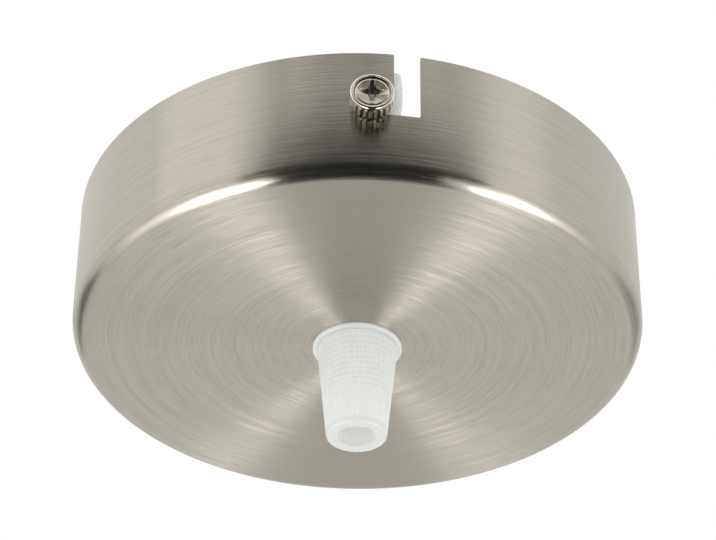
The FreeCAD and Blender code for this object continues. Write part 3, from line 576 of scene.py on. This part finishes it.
def cut(mesh, cutters):
    """The mesh that is left when closed cutter meshes are taken away from a closed mesh."""
    blank = bpy.data.objects.new("blank", mesh)
    bpy.context.collection.objects.link(blank)
    tools = []
    for cutter in cutters:
        tool = bpy.data.objects.new("cutter", cutter)
        bpy.context.collection.objects.link(tool)
        modifier = blank.modifiers.new("cut", "BOOLEAN")
        modifier.operation = "DIFFERENCE"
        modifier.solver = "EXACT"
        modifier.object = tool
        tools.append(tool)
    graph = bpy.context.evaluated_depsgraph_get()
    result = bpy.data.meshes.new_from_object(blank.evaluated_get(graph))
    for item in (blank, *tools):
        bpy.data.objects.remove(item)
    return result


# %% [markdown]
# The canopy's profile runs from the hole for the cord grip out along the disc, round the lower edge and
# up to the rim, then back inside at the thickness of the sheet. The rim is slightly rounded, as the tool
# leaves it. The grip's collar hides the edge of the hole, which stays plain.

# %% Canopy profile
CANOPY_WALL = 0.9
CANOPY_EDGE_RADIUS = 2.5
STEM_HOLE_RADIUS = 5.2
RIM_ROUND = 0.2
CANOPY_COLUMNS = 720
WALL_ROWS = 10
DISC_ROWS = 16


def canopy_profile():
    """Radius and height of each point of the canopy's closed section, in millimetres."""
    knee_r = CANOPY_RADIUS - CANOPY_EDGE_RADIUS
    knee_z = CANOPY_EDGE_RADIUS - CANOPY_HEIGHT
    inner_radius = CANOPY_EDGE_RADIUS - CANOPY_WALL
    outer = arc(knee_r, knee_z, CANOPY_EDGE_RADIUS, -90, 0, 14)
    inner = arc(knee_r, knee_z, inner_radius, 0, -90, 10)
    rim_out = arc(CANOPY_RADIUS - RIM_ROUND, -RIM_ROUND, RIM_ROUND, 0, 90, 4)
    rim_in = arc(CANOPY_RADIUS - CANOPY_WALL + RIM_ROUND, -RIM_ROUND, RIM_ROUND, 90, 180, 4)
    return np.concatenate([
        run((STEM_HOLE_RADIUS, -CANOPY_HEIGHT), outer[0], DISC_ROWS), outer,
        run(outer[-1], rim_out[0], WALL_ROWS)[1:], rim_out, rim_in,
        run(rim_in[-1], inner[0], WALL_ROWS)[1:], inner,
        run(inner[-1], (STEM_HOLE_RADIUS, CANOPY_WALL - CANOPY_HEIGHT), DISC_ROWS)[1:],
        [(STEM_HOLE_RADIUS, CANOPY_WALL - CANOPY_HEIGHT)],
    ])


profile = canopy_profile()
cup = turned_shell("spun_canopy", profile[:, :1], profile[:, 1:] + np.zeros(CANOPY_COLUMNS))
print(f"the canopy's profile has {len(profile)} points, turned in {CANOPY_COLUMNS} steps")

# %% [markdown]
# Each slot is L-shaped. The cup goes up over its screw through the slot's open end at the rim, and a
# small turn brings the screw into the closed end of the short arm, which is a half circle about the
# screw's axis. The back slot is the front one turned half round, so its x runs the other way.

# %% Canopy slots
SLOT_HALF_WIDTH = 2.2
SLOT_OFFSET = 5.9
SLOT_CORNER = 0.4
SCREW_AXIS_Z = -10.8
SLOT_CUT_OUTSIDE = 5
SLOT_CUT_INSIDE = 12
ABOVE_RIM = 1.0


def slot_outline():
    """The L-shaped slot seen from the front: in from the rim, then across to the screw's seat."""
    near_x = SLOT_OFFSET - SLOT_HALF_WIDTH
    far_x = SLOT_OFFSET + SLOT_HALF_WIDTH
    low_z = SCREW_AXIS_Z - SLOT_HALF_WIDTH
    return np.concatenate([
        [(near_x - SLOT_CORNER, ABOVE_RIM)],
        arc(near_x - SLOT_CORNER, -SLOT_CORNER, SLOT_CORNER, 90, 0, 6),
        [(near_x, SCREW_AXIS_Z + SLOT_HALF_WIDTH)],
        arc(0, SCREW_AXIS_Z, SLOT_HALF_WIDTH, 90, 270, 24),
        arc(far_x - SLOT_CORNER, low_z + SLOT_CORNER, SLOT_CORNER, -90, 0, 6),
        arc(far_x + SLOT_CORNER, -SLOT_CORNER, SLOT_CORNER, 180, 90, 6),
        [(far_x + SLOT_CORNER, ABOVE_RIM)],
    ])


slot = slot_outline()
outside = CANOPY_RADIUS + SLOT_CUT_OUTSIDE
inside = CANOPY_RADIUS - SLOT_CUT_INSIDE
front_cutter = prism("front_slot", slot, -outside, -inside)
back_cutter = prism("back_slot", slot * (-1, 1), inside, outside)
cup = cut(cup, [front_cutter, back_cutter])
show("spun_canopy", cup, "canopy", brushed_nickel, "canopy")

# %% [markdown]
# Cutting leaves long thin faces beside the slots, and smooth shading would smear across them, so the
# canopy's normals are worked out from its true profile instead. A normal leans down from level by the
# angle whose tangent is the depth below the edge arc's centre over the distance beyond it: nothing on the
# wall, a right angle on the disc. A spun wall also starts to curl in above its lower edge, too little to
# measure but enough to bend a reflection, so its normals lean down by up to ten degrees there. A face
# that doesn't lie along the profile, such as a slot's edge, keeps its own flat normal.

# %% Canopy normals
WALL_LEAN = math.radians(10)
WALL_LEAN_TOP = -6.0
TURNED_AGREEMENT = 0.8


def set_canopy_normals(mesh):
    """Give each face corner the normal of the true turned form, and cut edges their own flat normal.

    The angle round the edge and the wall's lean add as the short sides of a right triangle give its long
    one, and the lean grows with the power one and a half of the way down.
    """
    corners = np.empty(len(mesh.loops), dtype=int)
    mesh.loops.foreach_get("vertex_index", corners)
    places = np.empty(len(mesh.vertices) * 3)
    mesh.vertices.foreach_get("co", places)
    places = places.reshape(-1, 3)[corners] / MM
    face_normals = np.empty(len(mesh.polygons) * 3)
    mesh.polygons.foreach_get("normal", face_normals)
    totals = np.empty(len(mesh.polygons), dtype=int)
    mesh.polygons.foreach_get("loop_total", totals)
    flat = np.repeat(face_normals.reshape(-1, 3), totals, axis=0)
    distance = np.hypot(places[:, 0], places[:, 1])
    outward = places[:, :2] / distance[:, None]
    knee_z = CANOPY_EDGE_RADIUS - CANOPY_HEIGHT
    from_knee_r = np.clip(distance - (CANOPY_RADIUS - CANOPY_EDGE_RADIUS), 0, None)
    from_knee_z = np.clip(knee_z - places[:, 2], 0, None)
    lean = WALL_LEAN * np.clip((WALL_LEAN_TOP - places[:, 2]) / (WALL_LEAN_TOP - knee_z), 0, 1) ** 1.5
    round_edge = np.arctan2(from_knee_z, from_knee_r)
    down = np.minimum(np.hypot(round_edge, lean), np.pi / 2)
    true = np.column_stack([outward * np.cos(down)[:, None], -np.sin(down)])
    agreement = (flat * true).sum(axis=1)
    normals = np.where((agreement > TURNED_AGREEMENT)[:, None], true, flat)
    normals = np.where((agreement < -TURNED_AGREEMENT)[:, None], -true, normals)
    mesh.normals_split_custom_set(normals)


set_canopy_normals(cup)
print("normals set for", len(cup.loops), "face corners")

# %% [markdown]
# The stem of the cord grip is a moulded tube with a screw thread above and below its collar. A thread is
# a ridge that climbs as it goes round: at each point the place within a turn is the height divided by the
# pitch, less the angle as a part of a turn, and the radius follows a rounded tooth of that place. Two
# slits split the lower end into four jaws, which the cap presses on the cord.

# %% Cord grip stem
THREAD_RADIUS = 5.0
THREAD_DEPTH = 0.55
STEM_BORE = mounts["cord_passage"]["dims"]["r_mm"]
STEM_COLUMNS = 144
stem_low, stem_high = extent("cord_grip_stem")
STEM_TOP = stem_high[2]
STEM_END = stem_low[2]
COLLAR_RADIUS = stem_high[0]
COLLAR_ROUND = 0.3
COLLAR_TOP_ROUND = 0.1
JAW_END_RADIUS = 4.15
JAW_ROUND = 0.2
STEM_TOP_CHAMFER = 0.4
BORE_END_STEP = 0.1
THREAD_STEP = 0.1


def thread_depth(height, columns, pitch, depth, low, high):
    """How far a thread's groove lies below its crest, at each height and angle.

    It is deepest where the cosine of the place within a turn is one, and nothing where that is minus one. A
    power just below one keeps the crests narrow, and the groove fades out over a pitch at both ends.
    """
    turn = height / pitch - np.linspace(0, 1, columns, endpoint=False)
    groove = 0.5 + 0.5 * np.cos(2 * np.pi * turn)
    fade = np.clip((height - low) / pitch, 0, 1) * np.clip((high - height) / pitch, 0, 1)
    return depth * groove ** 0.8 * fade


def stem_surface():
    """Radius and height arrays of the stem: jaws, lower thread, collar, upper thread, then the bore."""
    lower = np.arange(THREAD_END, COLLAR_UNDER, THREAD_STEP)[:, None]
    upper = np.arange(COLLAR_TOP, STEM_TOP - STEM_TOP_CHAMFER, THREAD_STEP)[:, None]
    lower_radius = THREAD_RADIUS - thread_depth(lower, STEM_COLUMNS, THREAD_PITCH, THREAD_DEPTH,
                                                THREAD_END - THREAD_PITCH, COLLAR_UNDER)
    upper_radius = THREAD_RADIUS - thread_depth(upper, STEM_COLUMNS, THREAD_PITCH, THREAD_DEPTH,
                                                COLLAR_TOP, STEM_TOP + THREAD_PITCH)
    jaws = np.concatenate([
        run((STEM_BORE, STEM_END), (JAW_END_RADIUS - JAW_ROUND, STEM_END), 3),
        arc(JAW_END_RADIUS - JAW_ROUND, STEM_END + JAW_ROUND, JAW_ROUND, -90, 0, 4),
    ])
    collar = np.concatenate([
        run((THREAD_RADIUS, COLLAR_UNDER), (COLLAR_RADIUS - COLLAR_ROUND, COLLAR_UNDER), 4),
        arc(COLLAR_RADIUS - COLLAR_ROUND, COLLAR_UNDER + COLLAR_ROUND, COLLAR_ROUND, -90, 0, 6),
        arc(COLLAR_RADIUS - COLLAR_TOP_ROUND, COLLAR_TOP - COLLAR_TOP_ROUND, COLLAR_TOP_ROUND, 0, 90, 3),
    ])
    top = np.array([(THREAD_RADIUS - STEM_TOP_CHAMFER, STEM_TOP), (STEM_BORE, STEM_TOP)])
    bore = run((STEM_BORE, STEM_TOP - BORE_END_STEP), (STEM_BORE, STEM_END + BORE_END_STEP), 24)
    level = np.zeros(STEM_COLUMNS)
    radii = [jaws[:, :1] + level, lower_radius, collar[:, :1] + level, upper_radius, top[:, :1] + level,
             bore[:, :1] + level]
    heights = [jaws[:, 1:], lower, collar[:, 1:], upper, top[:, 1:], bore[:, 1:]]
    return np.concatenate(radii), np.concatenate(heights)


stem = turned_shell("threaded_stem", *stem_surface())
SLIT_HALF_WIDTH = 0.5
SLIT_LENGTH = 5.6
SLIT_CUT_BELOW = 1
SLIT_CUT_REACH = 8
slit_bottom = STEM_END - SLIT_CUT_BELOW
slit_top = STEM_END + SLIT_LENGTH
slit = [(-SLIT_HALF_WIDTH, slit_bottom), (SLIT_HALF_WIDTH, slit_bottom), (SLIT_HALF_WIDTH, slit_top),
        (-SLIT_HALF_WIDTH, slit_top)]
across = prism("slit_across", slit, -SLIT_CUT_REACH, SLIT_CUT_REACH)
along = across.copy()
along.transform(Matrix.Rotation(math.radians(90), 4, "Z"))
show("threaded_stem", cut(stem, [across, along]), "canopy", milky_nylon, "cord_grip_stem")

# %% [markdown]
# The cap is a slim cone with sixty fine reeds round it, so that fingers can turn it. Each reed is a
# rounded ridge: the radius is the cone's, less a little where the cosine of sixty times the angle is
# low. The reeds end on the rounded lip. Eight columns to a reed are enough for the eye. Inside, the bore
# narrows round the stem's jaws to the hole where the cord comes out.

# %% Cord grip cap
REEDS = 60
COLUMNS_PER_REED = 8
REED_DEPTH = 0.16
REEDED_LIP_ROWS = 3
CAP_TOP = cap_high[2]
CAP_TOP_RADIUS = cap_high[0]
CAP_TOP_ROUND = 0.15
CAP_END_RADIUS = 5.3
CAP_LIP = 0.6
CAP_BORE = 5.05
EXIT_ROUND = 0.2
EXIT_RADIUS = mounts["cord_exit"]["dims"]["r_mm"]
EXIT_LENGTH = mounts["cord_exit"]["dims"]["length_mm"]
JAW_CLEARANCE = 0.25


def cap_surface():
    """Radius and height arrays of the cap: lip and reeded cone up to its top, then the bore down again.

    The hollow between two reeds is half of one less the cosine of the reeds' number times the angle, to
    the power one and a half, which keeps the ridges wide and the hollows narrow.
    """
    columns = REEDS * COLUMNS_PER_REED
    lip = arc(CAP_END_RADIUS - CAP_LIP, CAP_END + CAP_LIP, CAP_LIP, -90, 0, 8)
    cone_top = (CAP_TOP_RADIUS, CAP_TOP - CAP_TOP_ROUND)
    cone = run(lip[-1], cone_top, 40)
    bore_end = (CAP_BORE, THREAD_END - JAW_CLEARANCE)
    jaw_seat = (JAW_END_RADIUS + JAW_CLEARANCE, STEM_END - JAW_CLEARANCE)
    exit_top = (EXIT_RADIUS, CAP_END + EXIT_LENGTH)
    inside = np.concatenate([
        [(CAP_TOP_RADIUS - CAP_TOP_ROUND, CAP_TOP)],
        run((CAP_BORE, CAP_TOP), bore_end, 16),
        run(bore_end, jaw_seat, 6),
        run(jaw_seat, exit_top, 3),
        run(exit_top, (EXIT_RADIUS, CAP_END + EXIT_ROUND), 6),
        arc(EXIT_RADIUS + EXIT_ROUND, CAP_END + EXIT_ROUND, EXIT_ROUND, 180, 270, 4),
    ])
    section = np.concatenate([lip, cone[1:], [cone_top], inside])
    angle = np.linspace(0, 2 * np.pi, columns, endpoint=False)
    hollow = REED_DEPTH * (0.5 - 0.5 * np.cos(REEDS * angle)) ** 1.5
    outside = np.zeros(len(section))
    outside[len(lip) - REEDED_LIP_ROWS:len(lip) + len(cone)] = 1
    return section[:, :1] - hollow * outside[:, None], section[:, 1:]


show("reeded_cap", turned_shell("reeded_cap", *cap_surface()), "grip_cap", nylon_painted_thread_shade,
     "cord_grip_cap", sharp=math.radians(50))

# %% [markdown]
# A cross for a driver is pressed into the front of each thumb screw. A Boolean could cut it, but a depth
# that depends on place keeps the screw one clean grid. A wing of the cross narrows from its root to its
# tip, its floor rises in a straight line to the tip, and its two sides are steep. So the depth at a point
# is the floor's, or what the nearer side allows where that is less.

# %% Driver's cross
CROSS_SPAN = 2.9
CROSS_FLOOR_SPAN = 0.75
CROSS_ROOT = 0.75
CROSS_TIP = 0.35
CROSS_DEPTH = 1.7
CROSS_STEEPNESS = 4.5


def cross_depth(radius, angle):
    """How deep the cross lies below the head's top: deepest in the middle, none beyond its tips."""
    x = radius * np.cos(angle)
    y = radius * np.sin(angle)
    along = np.maximum(abs(x), abs(y))
    aside = np.minimum(abs(x), abs(y))
    outwards = np.clip((along - CROSS_ROOT) / (CROSS_SPAN - CROSS_ROOT), 0, 1)
    half_width = CROSS_ROOT + (CROSS_TIP - CROSS_ROOT) * outwards
    floor = CROSS_DEPTH * np.clip((CROSS_SPAN - along) / (CROSS_SPAN - CROSS_FLOOR_SPAN), 0, 1)
    return np.clip((half_width - aside) * CROSS_STEEPNESS, 0, floor)


print(f"the cross is {cross_depth(0.0, 0.0):.1f} mm deep in the middle")

# %% [markdown]
# A thumb screw is a turned head with a coarse knurl. Its front has a raised rim, a narrow groove and a
# faintly dished crown, and a driver's cross is pressed into the crown. The whole screw is one turned
# shell from the tip of its shank to the middle of the crown. The knurl changes the radius with the
# angle, the thread does so with angle and height, and the cross is a height that falls below the crown
# near two lines at right angles.

# %% Side screws
HEAD_RADIUS = 3.65
HEAD_LENGTH = 3.0
HEAD_RIM = 0.7
HEAD_ROUND = 0.3
CREASE_DEPTH = 0.12
CREASE_HALF_WIDTH = 0.1
RIM_INNER_RADIUS = 3.12
RIM_INNER_ROUND = 0.1
GROOVE_DEPTH = 0.6
CROWN_RADIUS = 2.9
CROWN_ROUND = 0.3
CROWN_DROP = 0.2
CROWN_ROWS = 71
DISH_DEPTH = 0.03
FLUTES = 19
FLUTE_DEPTH = 0.24
SCREW_COLUMNS = FLUTES * 16
SHANK_RADIUS = 2.0
SHANK_PITCH = 0.7
SHANK_GROOVE = 0.38
SHANK_STEP = 0.08
TIP_CHAMFER = 0.5
AXIS_RADIUS = 0.001
SHANK_FIRST_STEP = 0.1
THREAD_RUNOUT = 0.3
FLUTE_FADE = 0.2
screw_low, screw_high = extent("side_screw_front")
HEAD_SEAT_Y = screw_low[1] + HEAD_LENGTH
SHANK_LENGTH = screw_high[1] - HEAD_SEAT_Y


def screw_surface():
    """Radius and height arrays of the screw, standing upright with its head's seat at height 0.

    A flute of the knurl is deepest where the sine of the flutes' number times half the angle is nothing.
    The crown sinks inwards by one less the square of the part of the way out, times the dish's depth.
    Where the floor of the cross lies lower than the crown, the face follows it.
    """
    angle = np.linspace(0, 2 * np.pi, SCREW_COLUMNS, endpoint=False)
    flat_radius = CROWN_RADIUS - CROWN_ROUND
    tip = run((AXIS_RADIUS, -SHANK_LENGTH), (SHANK_RADIUS - TIP_CHAMFER, -SHANK_LENGTH), 4)
    shank = np.arange(SHANK_FIRST_STEP - SHANK_LENGTH, 0, SHANK_STEP)[:, None]
    taper = np.clip(TIP_CHAMFER - (shank + SHANK_LENGTH), 0, None)
    shank_radius = SHANK_RADIUS - taper - thread_depth(shank, SCREW_COLUMNS, SHANK_PITCH, SHANK_GROOVE,
                                                       -SHANK_LENGTH - SHANK_PITCH, -THREAD_RUNOUT)
    back = np.concatenate([
        run((SHANK_RADIUS, 0), (HEAD_RADIUS - HEAD_ROUND, 0), 5),
        arc(HEAD_RADIUS - HEAD_ROUND, HEAD_ROUND, HEAD_ROUND, -90, 0, 6),
        run((HEAD_RADIUS, HEAD_ROUND), (HEAD_RADIUS, HEAD_LENGTH - HEAD_RIM - CREASE_HALF_WIDTH), 8)[1:],
    ])
    rim = np.concatenate([
        [(HEAD_RADIUS - CREASE_DEPTH, HEAD_LENGTH - HEAD_RIM),
         (HEAD_RADIUS, HEAD_LENGTH - HEAD_RIM + CREASE_HALF_WIDTH)],
        arc(HEAD_RADIUS - HEAD_ROUND, HEAD_LENGTH - HEAD_ROUND, HEAD_ROUND, 0, 90, 8),
        arc(RIM_INNER_RADIUS + RIM_INNER_ROUND, HEAD_LENGTH - RIM_INNER_ROUND, RIM_INNER_ROUND, 90, 180, 4),
        [(RIM_INNER_RADIUS, HEAD_LENGTH - GROOVE_DEPTH), (CROWN_RADIUS, HEAD_LENGTH - GROOVE_DEPTH)],
        arc(flat_radius, HEAD_LENGTH - CROWN_DROP - CROWN_ROUND, CROWN_ROUND, 0, 90, 6),
    ])
    crown_radius = np.linspace(flat_radius, AXIS_RADIUS, CROWN_ROWS + 1)[1:, None]
    crown_height = HEAD_LENGTH - CROWN_DROP - DISH_DEPTH * (1 - (crown_radius / flat_radius) ** 2)
    face_height = np.minimum(crown_height, HEAD_LENGTH - cross_depth(crown_radius, angle))
    flute = FLUTE_DEPTH * (1 - abs(np.sin(FLUTES * angle / 2))) ** 0.9
    fluted = np.clip(back[:, 1:] / FLUTE_FADE, 0, 1) * (back[:, :1] > HEAD_RADIUS - HEAD_ROUND)
    level = np.zeros(SCREW_COLUMNS)
    radii = [tip[:, :1] + level, shank_radius, back[:, :1] - flute * fluted, rim[:, :1] + level,
             crown_radius + level]
    heights = [tip[:, 1:] + level, shank + level, back[:, 1:] + level, rim[:, 1:] + level, face_height]
    return np.concatenate(radii), np.concatenate(heights)


def make_side_screw(name, side, node):
    """A thumb screw laid along Y: on the front side for -1, turned half round the Z axis for 1."""
    mesh = turned_shell(name, *screw_surface(), closed=False)
    laid = Matrix(((1, 0, 0, 0), (0, 0, -1, HEAD_SEAT_Y * MM), (0, 1, 0, SCREW_AXIS_Z * MM), (0, 0, 0, 1)))
    half_turn = Matrix.Rotation(math.pi if side > 0 else 0.0, 4, "Z")
    mesh.transform(half_turn @ laid)
    show(name, mesh, node, bright_nickel, node, sharp=math.radians(40))


make_side_screw("thumb_screw_front", -1, "side_screw_front")
make_side_screw("thumb_screw_back", 1, "side_screw_back")

# %% [markdown]
# The bracket, the terminal block and the small fasteners have their true shapes in the CAD model, but a
# solid from CAD has knife edges, and no real edge is that sharp. So each gets a dressed copy: its loose
# triangles are merged, points inside flat areas and along straight edges go, and a narrow bevel catches
# the light along every edge. Faces with many corners are split again at the end, because one with a hole
# in it would otherwise be filled wrongly.

# %% Dressing a CAD node
COPY_MERGE_DISTANCE = 0.001
FLAT_ANGLE = math.radians(0.5)
SHADING_ANGLE = math.radians(30)
EDGE_ANGLE = math.radians(40)
EDGE_SEGMENTS = 2


def dress(node, body, material, edge_round):
    """A copy of a CAD node with merged faces and edges rounded by so many millimetres."""
    mesh = frame["nodes"][node].data.copy()
    work = bmesh.new()
    work.from_mesh(mesh)
    bmesh.ops.remove_doubles(work, verts=work.verts, dist=COPY_MERGE_DISTANCE * MM)
    bmesh.ops.dissolve_limit(work, angle_limit=FLAT_ANGLE, verts=work.verts, edges=work.edges)
    bmesh.ops.triangulate(work, faces=[face for face in work.faces if len(face.verts) > 4])
    work.to_mesh(mesh)
    work.free()
    piece = show(f"{node}_dressed", mesh, body, material, node, sharp=SHADING_ANGLE)
    bevel = piece.modifiers.new("edge", "BEVEL")
    bevel.width = edge_round * MM
    bevel.segments = EDGE_SEGMENTS
    bevel.limit_method = "ANGLE"
    bevel.angle_limit = EDGE_ANGLE
    bevel.use_clamp_overlap = True
    level = piece.modifiers.new("level", "WEIGHTED_NORMAL")
    level.keep_sharp = True


# %% [markdown]
# Inside the cup, a pressed bracket carries the terminal block, with two screws to each of its three brass
# tubes, and the earth terminal. A nut with a toothed washer holds the cord grip. The width of the rounding
# follows how each is made: wide on a moulding, narrow on a thin washer.

# %% Bracket, terminals and fasteners
dress("mounting_bracket", "bracket", zinc_plate, 0.1)
dress("terminal_block_body", "bracket", filled_polyamide, 0.2)
for pole in ("left", "middle", "right"):
    dress(f"terminal_tube_{pole}", "bracket", turned_brass, 0.08)
    for row in ("feed", "lamp"):
        dress(f"terminal_screw_{pole}_{row}", "bracket", zinc_plate, 0.06)
dress("block_fixing_screw", "bracket", zinc_plate, 0.08)
dress("earth_screw", "bracket", turned_brass, 0.08)
dress("earth_cup_washer", "bracket", turned_brass, 0.1)
dress("earth_lock_washer", "bracket", zinc_plate, 0.06)
dress("grip_lock_nut", "canopy", zinc_plate, 0.1)
dress("grip_lock_washer", "canopy", zinc_plate, 0.06)

# %% [markdown]
# The studio is a white room with a pale floor. Its white light falls evenly on the object, at a level at
# which white plastic looks white and nothing glares. A lamp or a sheet can be hidden from the camera, from
# reflections or from the light on matt surfaces, and that is how one set of lamps serves the metal and
# another the plastic.

# %% Room and floor
FLOOR_Z = -1.5
FLOOR_HALF = 12.0
CARD_ROUGHNESS = 0.9


def make_world():
    """A white room that lights the object evenly from every side."""
    world = bpy.data.worlds.new("white_room")
    bpy.context.scene.world = world
    world.use_nodes = True
    tree = world.node_tree
    tree.nodes.clear()
    white = add(tree, "ShaderNodeBackground", {"Color": (1, 1, 1, 1), "Strength": 1.0})
    add(tree, "ShaderNodeOutputWorld", {"Surface": white.outputs[0]})


def make_card_material(name, code):
    """Plain matt card, for the studio's own things."""
    material, tree = new_material(name)
    surface = add(tree, "ShaderNodeBsdfPrincipled", {"Base Color": linear(code), "Roughness": CARD_ROUGHNESS})
    add(tree, "ShaderNodeOutputMaterial", {"Surface": surface.outputs["BSDF"]})
    return material


def make_plate(name, corners, material):
    """A flat sheet of the studio, from its corners in metres, in order round it."""
    mesh = bpy.data.meshes.new(name)
    mesh.from_pydata(np.array(corners, dtype=float), [], [range(len(corners))])
    mesh.materials.append(material)
    plate = bpy.data.objects.new(name, mesh)
    bpy.context.collection.objects.link(plate)
    return plate


make_world()
floor_corners = [(x * FLOOR_HALF, y * FLOOR_HALF, FLOOR_Z) for x, y in ((-1, -1), (1, -1), (1, 1), (-1, 1))]
make_plate("floor", floor_corners, make_card_material("white_floor", "fafafa"))
print(f"floor {-FLOOR_Z} m below the ceiling and {2 * FLOOR_HALF:.0f} m wide")

# %% [markdown]
# Bright metal looks flat unless it has something to reflect, so dark card stands where a photographer
# would put it: a sheet on the camera's side, a strip that runs from it across the floor, and a card behind
# the object on either side. The strip is the dark fan on the disc, and the sheet is the dark stretch in
# the middle of the wall. The sheet has a narrow peak, which the crown of the front screw reflects. Only
# reflections see these cards, and they stop no light.

# %% Dark cards
STRIP_Z = FLOOR_Z + 0.05
CARD_Y = -1.3
BLACK_CARD = "0c0c0c"


def make_dark_card(name, corners, code):
    """A sheet of card that only reflections see."""
    sheet = make_plate(name, corners, make_card_material(name, code))
    sheet.visible_camera = False
    sheet.visible_shadow = False
    sheet.visible_diffuse = False
    sheet.visible_transmission = False


card_edge = [(-1.45, -1.4), (1.35, -1.4), (1.3, -0.2), (1.05, 0.55), (0.45, 0.88), (0.2, 0.92),
             (0.05, 1.12), (-0.12, 1.0), (-0.3, 1.04), (-0.85, 0.68), (-1.35, -0.2)]
make_dark_card("front_card", [(x, CARD_Y, z) for x, z in card_edge], BLACK_CARD)
strip_edge = [(0.85, -1.3), (0.58, -0.65), (0.42, -0.1), (0.34, 0.45), (0.2, 0.85), (-0.2, 0.85),
              (-0.34, 0.45), (-0.42, -0.1), (-0.72, -0.65), (-1.1, -1.3)]
make_dark_card("floor_strip", [(x, y, STRIP_Z) for x, y in strip_edge], BLACK_CARD)
make_dark_card("back_left_card", [(-1.6, 1.15, -1.4), (-0.9, 1.8, -1.4), (-0.9, 1.8, -0.4),
                                  (-1.6, 1.15, -0.4)], "3c3c3c")
make_dark_card("back_right_card", [(1.0, 1.65, -1.4), (1.65, 1.0, -1.4), (1.65, 1.0, -0.15),
                                   (1.0, 1.65, -0.15)], "b4b4b4")
print(f"the sheet reaches {max(z for x, z in card_edge)} m above the ceiling's level")

# %% [markdown]
# Two soft lamps stand well below the object, one on each side, each with a wide weak halo: their
# reflections are the bright fans on the disc and the glints along the lower edge. Two tall weak lamps
# stand higher at the sides, and light the wall's two bright bands. A wide lamp far to the left and one
# high in front lift the wall between them. Most of them are for metal only, and the last lamp, in front,
# is for matt surfaces only.

# %% Soft lamps
LAMP_TARGET = Vector((0, 0, -0.02))


def make_soft_lamp(name, place, width, height, power, lights_metal=True, lights_matt=False):
    """A soft lamp that looks at the object, out of the camera's sight, for metal, matt surfaces or both."""
    lamp = bpy.data.objects.new(name, bpy.data.lights.new(name, "AREA"))
    lamp.data.shape = "RECTANGLE"
    lamp.data.size = width
    lamp.data.size_y = height
    lamp.data.energy = power
    lamp.matrix_world = aim(Vector(place), LAMP_TARGET, 0.0)
    lamp.visible_camera = False
    lamp.visible_glossy = lights_metal
    lamp.visible_diffuse = lights_matt
    bpy.context.collection.objects.link(lamp)


make_soft_lamp("left_lamp", (-0.575, 0.03, -1.15), 0.42, 0.42, 6.5)
make_soft_lamp("right_lamp", (0.645, 0.03, -1.15), 0.36, 0.36, 6.3)
make_soft_lamp("left_halo", (-1.0, 0.2, -1.2), 0.7, 0.7, 2.2)
make_soft_lamp("right_halo", (0.92, 0.17, -1.2), 0.5, 0.5, 1.1)
make_soft_lamp("left_fill", (-1.25, -0.6, 0.85), 1.0, 1.4, 1.3, lights_matt=True)
make_soft_lamp("right_fill", (1.18, -0.62, 0.85), 0.5, 1.4, 0.5, lights_matt=True)
make_soft_lamp("left_wide", (-1.7, 0.6, 0.9), 2.4, 1.4, 1.1)
make_soft_lamp("front_fill", (0.0, -1.0, 1.9), 1.6, 0.9, 3.2)
make_soft_lamp("matt_fill", (0.0, -2.0, 0.0), 3.0, 0.4, 4.0, lights_metal=False, lights_matt=True)
print("lamps:", [lamp.name for lamp in bpy.data.lights])
